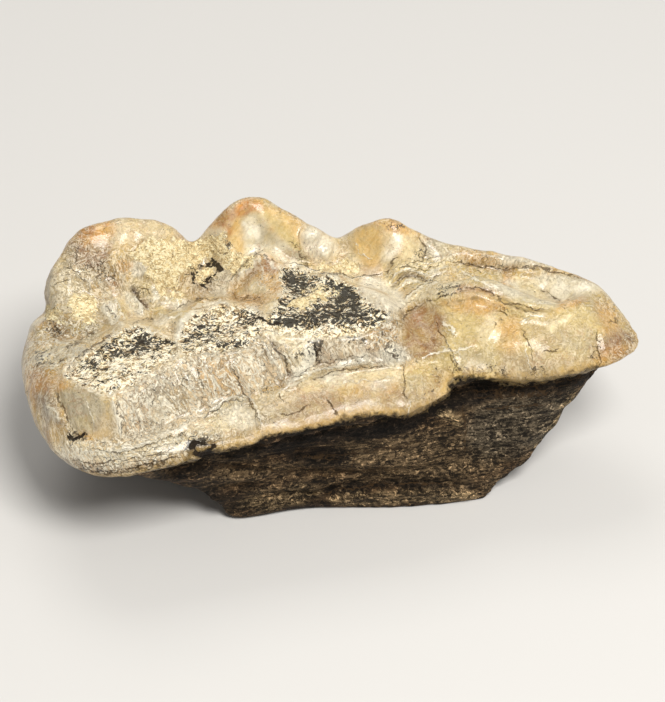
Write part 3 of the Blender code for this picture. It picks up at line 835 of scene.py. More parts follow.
CROWN_FOLDS = placed(Fold, {
    "valley": {
        "first lens, near side": (0.25, 0.35, (103, 304, 107, 314, 115, 325)),
        "first lens, far side": (0.25, 0.4, (110, 303, 114, 314, 122, 325)),
        "second lens": (0.25, 0.4, (134, 295, 140, 304, 143, 316)),
        "third lens": (0.25, 0.3, (114, 299, 120, 307, 124, 322)),
        "gully between the lenses": (0.25, -0.25, (131, 288, 138, 297, 147, 309)),
        "first bubble": (0.3, 0.3, (154, 290, 157, 292)),
        "drop": (0.3, 0.2, (137, 262, 144, 268, 143, 277)),
        "olive fold": (0.35, 0.4, (148, 303, 162, 297, 178, 303, 190, 300)),
        "low olive fold": (0.35, 0.35, (156, 314, 170, 318, 184, 314)),
        "white thread": (0.25, 0.2, (160, 307, 172, 303, 182, 307)),
    },
    "front rim": {
        "outer lip": (0.5, 0.3, (34, 334, 46, 326, 56, 328, 60, 340)),
        "upper stria": (0.3, 0.2, (32, 346, 50, 340, 66, 344, 90, 346)),
        "middle stria": (0.3, 0.2, (34, 360, 54, 354, 74, 350, 92, 350)),
        "lower stria": (0.3, 0.2, (40, 372, 58, 364, 76, 356, 94, 350)),
        "dark seam": (0.25, -0.2, (64, 374, 76, 358, 92, 347, 108, 336, 122, 330)),
        "hollow": (0.6, -0.3, (56, 326, 62, 336)),
    },
    "second field": {
        "arch": (0.35, 0.45, (178, 334, 184, 320, 196, 308, 214, 302, 234, 303)),
    },
    "middle cusp": {
        "yellow rib": (0.5, 0.25, (256, 210, 268, 226, 282, 240, 298, 252, 306, 262)),
        "grey seam": (0.22, -0.12, (286, 240, 298, 250, 306, 262)),
        "first bead": (0.4, 0.4, (304, 240, 311, 234, 318, 239)),
        "second bead": (0.4, 0.35, (320, 256, 327, 251, 326, 244)),
        "seam behind the beads": (0.25, -0.08, (302, 226, 298, 240, 304, 254, 314, 264)),
    },
    "conule": {
        "pearl ridge": (0.3, 0.35, (237, 277, 249, 265, 258, 258)),
        "cross ridge": (0.3, 0.2, (248, 292, 256, 284, 262, 290)),
        "crest": (0.35, 0.35, (256, 262, 264, 257, 271, 263, 280, 272)),
        "front edge": (0.4, 0.12, (262, 258, 262, 276, 268, 292)),
        "foot": (0.3, -0.15, (230, 290, 238, 299, 252, 297, 264, 301)),
    },
    "third field": {
        "far seam": (0.3, 0.2, (284, 262, 306, 267, 332, 273, 352, 277, 374, 276)),
    },
    "rear cusp": {
        "ridge with painted highlight": (0.7, 0.25, (400, 236, 394, 250, 386, 264)),
        "foot furrow": (0.35, -0.3, (384, 273, 392, 263, 400, 257)),
        "shoulder furrow": (0.5, -0.2, (418, 236, 426, 250, 424, 262)),
    },
    "rear folds": {
        "first": (0.3, 0.28, (388, 284, 398, 273, 412, 269, 424, 275, 438, 269, 452, 262)),
        "second": (0.3, 0.25, (394, 292, 408, 281, 424, 283, 436, 273, 452, 270)),
        "third": (0.35, 0.35, (402, 304, 414, 292, 430, 284, 446, 282)),
        "furrow": (0.25, -0.15, (390, 290, 402, 278, 416, 276, 428, 280, 440, 272)),
    },
    "talon rim": {
        "furrow": (0.22, -0.2, (
            452, 263, 470, 264, 490, 267, 506, 270, 522, 267, 546, 270, 572, 275, 592, 281)),
    },
    "talon shelf": {
        "edge": (0.35, 0.25, (456, 267, 472, 276, 488, 284, 504, 288)),
    },
    "talon basin": {
        "thread": (0.25, -0.15, (540, 288, 550, 296, 562, 302)),
    },
    "talon crest": {
        "ridge": (0.45, 0.32, (
            424, 306, 440, 300, 460, 294, 480, 296, 498, 303, 514, 311, 532, 316, 548, 317, 560, 311,
            580, 303, 600, 299)),
        "furrow behind": (0.3, -0.2, (462, 286, 482, 290, 502, 298, 518, 305, 534, 309, 550, 309)),
    },
    "talon lump": {
        "front seam": (0.3, -0.18, (402, 322, 412, 309, 426, 300)),
        "ear": (0.35, 0.25, (440, 322, 450, 326, 454, 336)),
        "lower ledge": (0.35, 0.22, (420, 358, 440, 352, 456, 350, 476, 345)),
        "pleat": (0.5, 0.2, (484, 345, 492, 330, 500, 318)),
    },
    "talon tip": {
        "waist": (0.4, -0.25, (596, 330, 598, 346, 600, 366)),
    },
    "front facet": {
        "groove": (0.35, -0.22, (54, 388, 61, 404, 67, 418, 74, 434)),
        "pit": (0.4, -0.25, (72, 435, 86, 436)),
        "rib": (0.3, 0.3, (111, 398, 116, 412, 120, 426, 121, 442)),
        "seam": (0.25, -0.1, (116, 398, 120, 412, 125, 426, 126, 440)),
    },
    "front strip": {
        "rib": (0.35, 0.2, (44, 404, 54, 410, 62, 422)),
    },
    "ledge": {
        "upper rim": (0.4, 0.28, (76, 448, 98, 452, 120, 450, 142, 444, 162, 436, 182, 426, 202, 417)),
        "step of the swelling": (0.35, 0.25, (204, 417, 218, 405, 232, 398, 246, 398, 256, 408, 262, 430)),
        "step of the back": (0.35, 0.3, (
            268, 400, 286, 388, 302, 380, 316, 371, 338, 366, 358, 363, 394, 362)),
        "seam over the back": (0.2, -0.12, (284, 382, 300, 374, 316, 365, 336, 361, 356, 357, 380, 357)),
    },
    "walls": {
        "first pleat": (0.35, 0.2, (144, 384, 148, 402, 150, 424)),
        "second pleat": (0.35, 0.22, (162, 372, 172, 388, 180, 402)),
        "third pleat": (0.35, 0.22, (180, 368, 190, 384, 198, 402)),
        "fourth pleat": (0.35, 0.2, (204, 362, 214, 380, 222, 394)),
        "fifth pleat": (0.35, 0.2, (232, 358, 242, 376, 252, 392)),
        "dark fold": (0.25, -0.2, (268, 338, 278, 352, 286, 366, 292, 382)),
        "fold beside it": (0.35, 0.28, (260, 340, 268, 352, 276, 366)),
        "white fold": (0.35, 0.35, (312, 342, 313, 356, 308, 368, 296, 378, 284, 384)),
        "mauve pillow": (0.7, 0.2, (326, 356, 348, 350)),
        "second pillow": (0.5, 0.2, (362, 344, 370, 352)),
        "white bead": (0.35, 0.3, (356, 359, 370, 357)),
        "corner fold": (0.3, 0.25, (382, 350, 392, 358, 406, 361)),
    },
})

THREAD_WIDTH = 0.2
THREAD_HEIGHT = 0.12
THREADS = {
    "talon lump, first thread": (445, 338, 452, 352, 457, 366),
    "talon lump, second thread": (524, 346, 528, 360, 532, 373),
    "talon lump, third thread": (517, 324, 530, 316, 548, 316),
    "ledge, thread of the end": (410, 398, 408, 408, 407, 418),
    "ledge, thread of the belly": (330, 384, 352, 382, 378, 379, 400, 377),
    "talon basin, first thread": (520, 300, 540, 303, 556, 304),
    "talon rim, thread": (474, 256, 500, 258, 530, 261, 560, 270),
    "rear cusp, thread": (352, 240, 360, 252, 372, 262),
    "front cusp, first thread": (74, 272, 86, 280, 92, 292),
    "front cusp, second thread": (96, 286, 104, 280, 112, 286),
    "front facet, thread": (84, 394, 88, 410, 96, 428),
}
CROWN_FOLDS.update({name: Fold(THREAD_WIDTH, THREAD_HEIGHT, line) for name, line in THREADS.items()})

DARK_LINES = named(DarkLine, {
    "ring of the pit": (0.09, (
        194, 276, 198, 267, 207, 264, 214, 261, 220, 266, 216, 274, 209, 280, 202, 286, 195, 283, 194, 276)),
    "front cusp crack": (0.039, (52, 288, 62, 282, 72, 279)),
    "front cusp vertical crack": (0.033, (74, 246, 75, 256, 73, 264)),
    "front cusp, small cracks": (0.039, (98, 274, 104, 278, 112, 276, 118, 268)),
    "gully of the lenses": (0.05, (134, 292, 140, 299, 146, 309)),
    "olive pool line": (0.04, (134, 285, 142, 288, 152, 294)),
    "pit, thick side": (0.15, (204, 267, 212, 264, 220, 267, 218, 273)),
    "pit, left side": (0.12, (198, 268, 194, 274, 196, 282)),
    "pit, foot": (0.1, (196, 282, 203, 285, 212, 280)),
    "lens edge": (0.033, (104, 305, 110, 309, 116, 320)),
    "front rim seam": (0.05, (70, 364, 80, 354, 94, 345, 108, 337, 118, 333)),
    "front rim notch": (0.05, (46, 319, 54, 324, 56, 332, 54, 340)),
    "front groove": (0.039, (58, 398, 64, 408, 68, 420, 73, 432)),
    "front pit": (0.13, (66, 433, 75, 438, 88, 434)),
    "facet seam": (0.028, (112, 400, 117, 410, 121, 420, 122, 440)),
    "wall crack": (0.044, (230, 362, 236, 374, 242, 392, 248, 400, 254, 410, 260, 424)),
    "wall fold line": (0.05, (272, 342, 280, 354, 288, 368, 291, 380)),
    "second fold line": (0.044, (256, 342, 264, 352, 272, 360)),
    "black streak": (0.12, (313, 343, 315, 350, 316, 358)),
    "black thread": (0.044, (320, 344, 318, 354, 314, 364)),
    "corner crack": (0.05, (388, 338, 386, 348, 392, 354, 400, 361)),
    "corner crack, lower": (0.039, (400, 362, 404, 376, 405, 390, 408, 402)),
    "ledge crack": (0.044, (278, 417, 288, 414, 298, 410, 312, 404)),
    "ledge short crack": (0.055, (326, 398, 332, 406, 337, 417)),
    "pillow seam": (0.033, (340, 366, 352, 361, 366, 362)),
    "ledge small ring": (0.033, (278, 392, 280, 398, 282, 404)),
    "middle cusp seam": (0.028, (288, 242, 298, 251, 305, 261)),
    "rear cusp foot": (0.039, (383, 273, 391, 266, 398, 259)),
    "rear fold line": (0.03, (392, 290, 404, 279, 418, 277, 428, 281, 440, 274)),
    "rear fold line, upper": (0.03, (384, 284, 396, 272, 410, 265, 424, 270, 438, 264, 450, 257)),
    "rear fold line, lower": (0.03, (400, 302, 412, 290, 426, 284, 442, 279)),
    "rear fold line, far": (0.025, (404, 258, 418, 262, 432, 258, 446, 252)),
    "talon rim line": (0.044, (448, 263, 466, 263, 486, 266, 502, 270)),
    "talon rim line, rear": (0.044, (508, 268, 526, 266, 546, 269, 570, 274, 590, 280)),
    "talon crest line": (0.039, (492, 298, 508, 304, 522, 310, 540, 314)),
    "talon tick": (0.039, (498, 312, 502, 312, 508, 316)),
    "talon second tick": (0.039, (494, 321, 494, 327)),
    "lump edge": (0.039, (436, 316, 438, 328, 442, 336, 450, 348, 456, 362, 460, 374)),
    "talon waist": (0.044, (596, 330, 597, 344, 598, 358, 600, 370)),
    "talon waist branch": (0.033, (586, 358, 594, 352, 600, 344)),
    "talon short crack": (0.033, (542, 352, 552, 350, 560, 347)),
    "tip crack": (0.033, (606, 321, 614, 320, 620, 322)),
    "basin thread": (0.028, (546, 290, 552, 297, 560, 302)),
    "far rim of the third field": (0.035, (
        278, 262, 292, 263, 310, 267, 332, 273, 356, 276, 384, 274, 400, 270)),
    "between the second and third fields": (0.1, (250, 316, 260, 320, 272, 323, 284, 324)),
    "between the first and second fields": (0.09, (158, 338, 168, 342, 178, 343)),
    "black lens in the hem": (0.24, (187, 447, 196, 444, 208, 446)),
    "black lens, tail": (0.14, (208, 446, 214, 447, 206, 453, 190, 454)),
    "hem, first strand": (0.05, (64, 458, 90, 463, 120, 460, 150, 455, 180, 447)),
    "hem, second strand": (0.06, (70, 468, 100, 471, 130, 468, 160, 461, 190, 455)),
    "hem, third strand": (0.05, (96, 477, 120, 472, 150, 468, 176, 461)),
    "hem, upper strand": (0.035, (84, 446, 110, 452, 140, 447, 168, 438, 190, 428)),
    "fold above the ledge": (0.04, (200, 421, 214, 410, 228, 402, 246, 401)),
    "under the ledge's step": (0.035, (306, 384, 330, 374, 356, 368, 392, 367)),
    "talon foot": (0.04, (486, 384, 510, 388, 540, 385, 580, 377, 612, 367)),
    "front corner": (0.03, (28, 372, 40, 364, 58, 362, 70, 354)),
    "front cusp foot": (0.035, (100, 330, 88, 336, 74, 344, 60, 350)),
    "valley line": (0.035, (156, 322, 170, 312, 184, 304, 204, 299, 224, 298)),
    "valley line, second": (0.03, (128, 326, 144, 320, 160, 322)),
    "conule line": (0.035, (228, 286, 234, 274, 246, 264, 258, 254, 268, 258, 282, 266)),
    "conule foot line": (0.03, (230, 292, 240, 300, 256, 301, 266, 306)),
    "talon lump, upper line": (0.03, (412, 312, 424, 302, 440, 297, 462, 291)),
    "talon lump, pleat line": (0.03, (520, 324, 526, 338, 532, 352, 534, 364)),
    "ledge end line": (0.03, (446, 348, 452, 360, 456, 374)),
    "front cusp web, first": (0.03, (82, 262, 92, 268, 98, 276, 108, 280)),
    "front cusp web, second": (0.03, (96, 258, 102, 266, 104, 276, 112, 284)),
    "front cusp web, third": (0.03, (62, 270, 70, 268, 80, 274, 86, 284)),
    "first wall crack": (0.03, (152, 384, 154, 396, 150, 410)),
    "second wall crack": (0.03, (196, 366, 200, 380, 206, 392)),
    "third wall crack": (0.03, (178, 372, 182, 382, 188, 392)),
    "root crack": (0.05, (462, 400, 464, 420, 466, 440, 464, 456)),
    "root crack, left": (0.05, (352, 446, 354, 458, 350, 470)),
    "root line under the talon": (0.06, (470, 398, 510, 396, 550, 394, 572, 392)),
    "root line, second": (0.05, (476, 410, 520, 406, 560, 402)),
    "root line, third": (0.06, (300, 456, 350, 453, 390, 448, 430, 440)),
    "root line, fourth": (0.06, (200, 470, 260, 468, 310, 474, 360, 470, 420, 468)),
})

MANGANESE_AND_SHADOW = named(Area, {
    "front cusp": (0.25, (97, 264, 108, 262, 116, 270, 114, 284, 102, 283)),
    "middle cusp foot": (0.35, (249, 248, 263, 248, 263, 256, 250, 256)),
    "front cusp, high spot": (0.6, (84, 266, 90, 266, 90, 273, 84, 272)),
    "front rim": (0.35, (34, 352, 46, 348, 50, 360, 38, 364)),
    "front notch": (0.5, (44, 318, 56, 318, 60, 336, 48, 334)),
    "grey spot in the earth": (0.75, (219, 242, 229, 242, 229, 249, 220, 248)),
    "front pit": (0.5, (70, 432, 90, 432, 90, 440, 70, 440)),
    "lens of black in the ledge": (0.7, (186, 444, 204, 438, 214, 446, 206, 456, 188, 456)),
    "ledge foot": (0.35, (62, 462, 120, 470, 190, 456, 190, 462, 120, 478, 66, 470)),
    "third wall": (0.6, (310, 340, 322, 342, 320, 362, 308, 358)),
    "third wall, upper": (0.6, (348, 334, 364, 334, 364, 344, 348, 342)),
    "third wall, low": (0.5, (296, 352, 306, 352, 306, 362, 296, 362)),
    "corner": (0.15, (384, 328, 398, 336, 404, 356, 392, 358, 382, 346)),
    "rear cusp top": (0.6, (386, 220, 404, 222, 404, 229, 388, 228)),
    "rear cusp side": (0.6, (415, 248, 426, 250, 424, 258, 416, 257)),
    "rear folds": (0.5, (438, 284, 460, 282, 462, 294, 440, 296)),
    # painted shadow: dark specks in the notch at the talon's foot, here and in the third patch
    "shadow notch at the talon foot, first": (0.55, (482, 364, 506, 368, 504, 380, 478, 384)),
    "talon foot, second": (0.4, (528, 362, 548, 366, 546, 382, 528, 382)),
    "shadow notch at the talon foot, third": (0.55, (454, 370, 474, 370, 474, 386, 456, 386)),
    "talon rim": (0.25, (486, 260, 506, 262, 506, 272, 488, 270)),
    "talon waist": (0.4, (590, 356, 604, 352, 604, 372, 592, 372)),
    "ledge end": (0.2, (426, 372, 450, 368, 456, 384, 432, 396)),
})

WRINKLED = named(Area, {
    "front cusp, top": (0.25, (90, 240, 100, 222, 150, 218, 180, 236, 150, 240, 120, 250)),
    "front cusp, face": (0.6, (44, 300, 66, 262, 110, 262, 120, 300, 80, 330)),
    "middle cusp": (0.1, (206, 236, 236, 204, 262, 202, 300, 226, 318, 262, 290, 266, 246, 256)),
    "beads": (0.35, (302, 230, 330, 230, 340, 250, 322, 264, 306, 254)),
    "rear cusp": (0.12, (346, 246, 360, 226, 400, 222, 424, 244, 410, 264, 360, 274)),
    "rear folds": (0.55, (384, 282, 400, 264, 456, 262, 466, 290, 420, 306, 400, 304)),
    "valley": (0.35, (110, 300, 150, 280, 200, 300, 180, 320, 130, 324)),
    "front rim": (0.9, (28, 340, 60, 318, 100, 330, 80, 362, 30, 372)),
    "front facet": (0.2, (58, 394, 80, 386, 106, 400, 112, 436, 80, 432)),
    "near walls": (1.0, (120, 400, 180, 360, 270, 340, 300, 372, 240, 404, 190, 424, 130, 444)),
    "third wall": (0.7, (300, 344, 380, 338, 384, 362, 310, 372)),
    "corner": (1.0, (372, 320, 404, 316, 414, 362, 380, 366)),
    "ledge": (0.25, (262, 430, 300, 384, 400, 364, 450, 360, 460, 384, 420, 412, 300, 434)),
    "hem": (1.0, (60, 446, 120, 440, 210, 430, 214, 450, 160, 470, 80, 474)),
    "talon": (0.22, (404, 350, 412, 312, 470, 292, 560, 304, 620, 320, 600, 366, 480, 376)),
    "talon basin": (0.25, (484, 282, 584, 276, 600, 292, 540, 306)),
    "talon rim": (0.5, (454, 252, 530, 254, 600, 286, 560, 274, 500, 270, 460, 266)),
})


@dataclass(frozen=True)
class Drift:
    """A tone that drifts over a ground in clouds: how sharp they are, how wide and how much they cover."""

    tone: Tone
    cloud: Rough
    gain: float
    start: float
    cover: float

    def over(self, tint: np.ndarray, places: Points) -> np.ndarray:
        """Lay the drift over a tint.

        Args:
            tint: one colour a point.
            places: where each point reads the cloud.
        Returns:
            The tint with the drift.
        """
        share = smooth_step(self.cloud.at(places) * self.gain + self.start) * self.cover
        return laid(tint, self.tone, share)


def crown_drifts() -> tuple[Drift, ...]:
    """The drifts of the crown's ground, each in finer clouds than the last.

    Returns:
        The drifts, in the order in which they are laid.
    """
    covers = ((Tone.CREAM, 0.75), (Tone.OLIVE, 0.6), (Tone.PEARL, 0.6), (Tone.MAUVE, 0.5), (Tone.OCHRE, 0.35),
              (Tone.CREAM, 0.5))
    broadest, finer, upright, seed_step = 0.34, 0.05, 0.2, 13.0
    drifts = []
    for number, (tone, cover) in enumerate(covers):
        across = broadest + finer * number
        cloud = Rough((across, across, upright), 4, seed_step * (number + 1))
        drifts.append(Drift(tone, cloud, gain=2.2, start=0.176, cover=cover))
    return tuple(drifts)


@dataclass
class Crown:
    """The enamel crown: broad waves, pleats of the walls, drawn folds and soft stains."""

    waves: Rough = Rough(0.7, 3, 4.7, 0.05)
    pleats: Rough = Rough((1.5, 1.5, 0.2), 4, 9.3, 0.1)
    edge: Rough = Rough(1.1, 4, 21.0, 0.25)  # how far a stain's edge strays
    fade_share: float = 0.18         # part of a fold's length over which it dies out at each end
    steep_to_pleat: float = 1.5      # level from which a wall is pleated
    steep_to_paint: float = 1.6      # level from which its wrinkles slant
    spine: tuple[Limits, Limits] = ((-13.0, 0.5), (13.0, -3.5))
    off_spine: float = 0.01          # a point on the spine counts as this far from it
    reach: float = 8.0               # from the spine to the pleats' own measure
    slant: float = 0.55              # how far a pleat leans for each millimetre that it falls
    plain_wrinkles: float = 0.5      # where no patch says otherwise
    wrinkle_fade: float = 1.0
    speck_fade: float = 0.5
    speck_start: float = 0.6
    ground_tone: Tone = Tone.HONEY
    drifts: tuple[Drift, ...] = crown_drifts()
    tip_tone: Tone = Tone.OCHRE      # high on the far side of the cusps
    tip_height: float = 14.0
    tip_reach: float = 4.0
    tip_cover: float = 0.45

    def girth(self, skin: Skin) -> Points:
        """Each point's place around the crown, slanting as the pleats do.

        Args:
            skin: the skin of the tooth.
        Returns:
            The slanting place, and the height, one row a point.
        """
        start, end = np.array(self.spine)
        run = end - start
        share = np.clip((skin.points[:, :2] - start) @ run / (run @ run), 0, 1)
        core = start + share[:, None] * run
        out = skin.points[:, :2] - core
        out /= np.maximum(np.linalg.norm(out, axis=1), self.off_spine)[:, None]
        along = np.column_stack([-out[:, 1], out[:, 0]])
        height = skin.points[:, 2:]
        return np.hstack([core + out * self.reach + along * self.slant * height, height])

    def build(self, skin: Skin, enamel: np.ndarray) -> None:
        """Shape the enamel.

        Args:
            skin: the skin of the tooth.
            enamel: share of enamel at each point.
        """
        pleats = self.pleats.at(self.girth(skin)) * skin.steep(self.steep_to_pleat)
        height = (self.waves.at(skin.points) + pleats) * enamel + skin.folded(CROWN_FOLDS, self.fade_share)
        skin.lift(height, smooth_normals=2)

    def dress(self, skin: Skin) -> None:
        """Paint the enamel's tint, and keep how wrinkled and how speckled it is.

        Args:
            skin: the shaped skin.
        """
        wander = self.edge.at(skin.points)
        tint = skin.stained(self._ground(skin), CROWN_STAINS_AND_PAINTED_LIGHT, wander)
        skin.keep("tint", skin.stained(tint, WALL_STAINS_AND_HIGHLIGHTS, wander))
        skin.keep("girth", self.girth(skin))
        skin.keep("steep", skin.steep(self.steep_to_paint))
        skin.keep("wrinkled", skin.covered(self.plain_wrinkles, WRINKLED, self.wrinkle_fade))
        # the relief sets where the enamel paints shade in hollows and highlights on ridges
        skin.keep("relief", skin.relief())
        # manganese specks, and dark specks painted as shadow in the notch at the talon's foot
        manganese = np.zeros(len(skin.points))
        for area in MANGANESE_AND_SHADOW.values():
            share = smooth_step(skin.depth_inside(area.outline) / self.speck_fade + self.speck_start)
            manganese = np.maximum(manganese, share * area.strength * skin.seen)
        skin.keep("manganese", manganese)

    def _ground(self, skin: Skin) -> np.ndarray:
        """Tint under the drawn stains: slanting drifts of the crown's tones, browner up on the cusps.

        Args:
            skin: the shaped skin.
        Returns:
            One colour a point.
        """
        tint = skin.ground(self.ground_tone)
        places = self.girth(skin)
        for drift in self.drifts:
            tint = drift.over(tint, places)
        high = smooth_step((skin.points[:, 2] - self.tip_height) / self.tip_reach)
        return laid(tint, self.tip_tone, high * (1 - skin.seen) * self.tip_cover)


# ---------------------------------------------------------------- worn fields, earth, roots, dark lines

WORN_FIELDS = {
    "first field": (
        66, 376, 74, 364, 86, 354, 100, 344, 114, 334, 128, 327, 141, 326, 152, 331, 164, 338, 176, 343,
        177, 354, 168, 361, 156, 365, 147, 373, 134, 385, 120, 391, 106, 393, 92, 389, 78, 383),
    "second field": (
        178, 347, 181, 333, 189, 319, 203, 309, 221, 305, 240, 306, 254, 309, 262, 317, 263, 328, 257, 338,
        247, 346, 232, 351, 214, 354, 196, 355, 184, 353),
    "third field": (
        281, 268, 294, 267, 308, 271, 326, 276, 343, 281, 357, 288, 364, 298, 378, 306, 389, 312, 386, 322,
        372, 331, 342, 338, 304, 337, 278, 334, 264, 326, 270, 315, 277, 303, 281, 292, 280, 280),
}

COAL = named(Area, {
    "first field": (0.3, (60, 380, 100, 340, 140, 322, 180, 340, 178, 358, 140, 380, 110, 396)),
    "first field, upper": (0.55, (96, 348, 118, 332, 146, 326, 164, 338, 152, 352, 128, 356, 104, 360)),
    "first field, band": (0.7, (128, 344, 140, 338, 158, 340, 156, 348, 132, 352)),
    "first field, spot": (0.6, (84, 362, 96, 360, 98, 370, 86, 370)),
    "second field": (0.3, (176, 348, 188, 318, 222, 303, 264, 312, 262, 334, 240, 350, 200, 356)),
    "second field, left": (0.5, (184, 338, 200, 325, 228, 322, 232, 334, 210, 342, 192, 346)),
    "second field, right": (0.5, (236, 312, 248, 306, 260, 314, 258, 326, 240, 326)),
    "second field, foot": (0.6, (216, 343, 240, 340, 248, 342, 240, 350, 222, 352)),
    "third field": (0.5, (266, 318, 282, 266, 310, 268, 360, 288, 392, 312, 378, 326, 330, 328, 284, 326)),
    "third field, far corner": (0.7, (284, 274, 306, 274, 308, 286, 292, 292)),
    "third field, heart": (0.7, (302, 314, 330, 306, 344, 290, 358, 292, 362, 308, 352, 322, 316, 324)),
    "third field, right": (0.66, (358, 312, 376, 310, 388, 314, 380, 322, 360, 322)),
    "third field, top right": (0.75, (330, 284, 344, 284, 356, 292, 346, 298, 334, 292)),
    "third field, foot": (0.75, (276, 318, 296, 316, 312, 322, 300, 326, 280, 325)),
})

EARTH = {
    "bank behind the front cusp": (
        142, 240, 152, 235, 168, 238, 186, 241, 206, 238, 223, 232, 229, 238, 228, 248, 240, 252, 246, 260,
        240, 270, 232, 275, 223, 262, 213, 257, 200, 262, 190, 272, 180, 278, 176, 288, 166, 287, 154, 284,
        146, 274, 141, 262, 132, 254, 136, 246),
    "tail of the bank": (150, 286, 164, 289, 178, 294, 188, 300, 176, 299, 160, 294),
    "heap by the front rim": (
        66, 301, 74, 294, 86, 294, 97, 300, 96, 311, 92, 322, 84, 326, 76, 318, 68, 312),
    "dust by the front rim": (46, 306, 56, 308, 66, 316, 58, 322, 48, 316),
    "dust behind the middle cusp": (318, 265, 338, 263, 348, 256, 358, 262, 358, 272, 340, 273, 322, 270),
    "streak in the third field": (
        293, 299, 306, 294, 322, 291, 336, 291, 332, 297, 318, 302, 304, 308, 294, 307),
    "plug of the pit": (
        197, 276, 200, 270, 208, 267, 213, 265, 216, 268, 213, 273, 207, 278, 202, 283, 198, 281),
    "crumbs under the middle cusp": (243, 262, 250, 257, 256, 260, 248, 267),
}


@dataclass
class WornFields:
    """Three fields of bare dentine, each sunk behind a crisp enamel rim."""

    ragged: Rough = Rough(1.6, 3, 31.0, 0.14)  # how far a field's edge strays
    depth: float = 0.16
    wall: float = 0.35
    rim_height: float = 0.1
    rim_width: float = 0.22
    plain_coal: float = 0.15         # where no patch says otherwise

    def measure(self, skin: Skin) -> np.ndarray:
        """How far inside a worn field each point lies, in millimetres."""
        return skin.deepest_inside(WORN_FIELDS) + self.ragged.at(skin.points)

    def build(self, skin: Skin) -> None:
        """Sink the fields and raise their rims.

        Args:
            skin: the skin of the tooth.
        """
        depth = self.measure(skin)
        floor = smooth_step(depth / self.wall) * self.depth
        rim = np.exp(-((depth + self.rim_width) / self.rim_width) ** 2) * self.rim_height
        skin.lift((rim - floor) * skin.seen)

    def dress(self, skin: Skin) -> None:
        """Keep the fields' depth and how much coal-black speckle they carry."""
        skin.keep("worn", self.measure(skin))
        skin.keep("coal", skin.covered(self.plain_coal, COAL))


@dataclass
class Earth:
    """Dry cave earth that fills the valleys: a rough crust and loose crumbs on it."""

    ragged: Rough = Rough(1.8, 3, 47.0, 0.5)  # how far a patch's edge strays
    lumps: Rough = Rough(2.2, 4, 3.1, 0.08)
    thickness: float = 0.1
    ease: float = 0.35               # over which the crust rises
    start: float = 0.3               # share of the crust that reaches past the edge

    def measure(self, skin: Skin) -> np.ndarray:
        """How far inside a patch of earth each point lies, in millimetres."""
        return skin.deepest_inside(EARTH) + self.ragged.at(skin.points)

    def build(self, skin: Skin) -> None:
        """Raise the crust."""
        share = smooth_step(self.measure(skin) / self.ease + self.start) * skin.seen
        skin.lift(share * (self.thickness + self.lumps.at(skin.points)), smooth_normals=2)

    def dress(self, skin: Skin) -> None:
        """Keep the earth's depth, and its share for the crumbs.

        Args:
            skin: the shaped skin.
        """
        depth = self.measure(skin)
        skin.keep("earth", depth)
        skin.keep("crumb_share", smooth_step(depth / self.ease) * skin.seen)


ENAMEL_EDGE = (
    150, 476, 176, 466, 196, 461, 208, 452, 222, 452, 240, 448, 256, 443, 264, 437, 284, 435, 302, 431,
    330, 425, 352, 419, 376, 416, 402, 418, 420, 413, 438, 404, 448, 396, 452, 386, 460, 379, 482, 379,
    500, 383, 522, 385, 548, 382, 572, 376, 600, 369, 622, 363)

ROOT_STAINS_AND_SHADOWS = named(Stain, {
    "middle, tan": (Tone.BARK, 0.9, (350, 440, 440, 428, 500, 440, 500, 470, 440, 480, 350, 478), 1.5),
    "right, grey": (Tone.ASH, 0.9, (480, 404, 570, 392, 560, 430, 520, 456, 470, 450), 1.5),
    "left, layers": (Tone.BARK, 0.5, (200, 466, 300, 462, 330, 474, 300, 484, 210, 482), 1.0),
    "left foot, dark": (Tone.SOOT, 0.7, (160, 482, 220, 488, 260, 500, 230, 514, 190, 500), 1.0),
    # painted shadow: near-black bands under the enamel's overhanging edge and under the talon
    "painted shadow under the enamel, front": (Tone.SOOT, 0.75, (
        150, 480, 200, 464, 260, 446, 300, 438, 300, 450, 240, 462, 180, 480), 0.8),
    "painted shadow under the enamel, middle": (Tone.SOOT, 0.95, (
        296, 434, 340, 424, 400, 420, 424, 416, 416, 430, 380, 440, 340, 438, 310, 444), 0.6),
    "painted shadow under the enamel, step": (Tone.SOOT, 0.9, (
        424, 414, 450, 396, 470, 382, 490, 384, 480, 404, 452, 414), 0.7),
    "under the talon": (Tone.SOOT, 0.85, (480, 382, 540, 384, 606, 368, 580, 386, 540, 396, 480, 398), 0.6),
    "pocket": (Tone.SOOT, 0.9, (288, 452, 316, 448, 346, 452, 344, 464, 316, 464, 290, 462), 0.6),
    "crevice": (Tone.SOOT, 0.85, (
        320, 490, 350, 484, 400, 479, 450, 481, 474, 486, 450, 489, 400, 488, 350, 492), 0.4),
    "bottom ledge": (Tone.STRAW, 0.4, (
        330, 500, 360, 494, 400, 491, 450, 492, 480, 496, 470, 508, 430, 503, 380, 504, 350, 509), 0.5),
    "left ledge": (Tone.STRAW, 0.25, (240, 500, 264, 490, 300, 486, 322, 492, 300, 502, 262, 512), 0.6),
    "flake": (Tone.STRAW, 0.6, (440, 414, 458, 414, 462, 426, 452, 424), 0.4),
    "right rim": (Tone.STRAW, 0.6, (
        570, 392, 576, 396, 556, 440, 530, 470, 500, 492, 490, 494, 520, 468, 546, 436), 0.5),
})

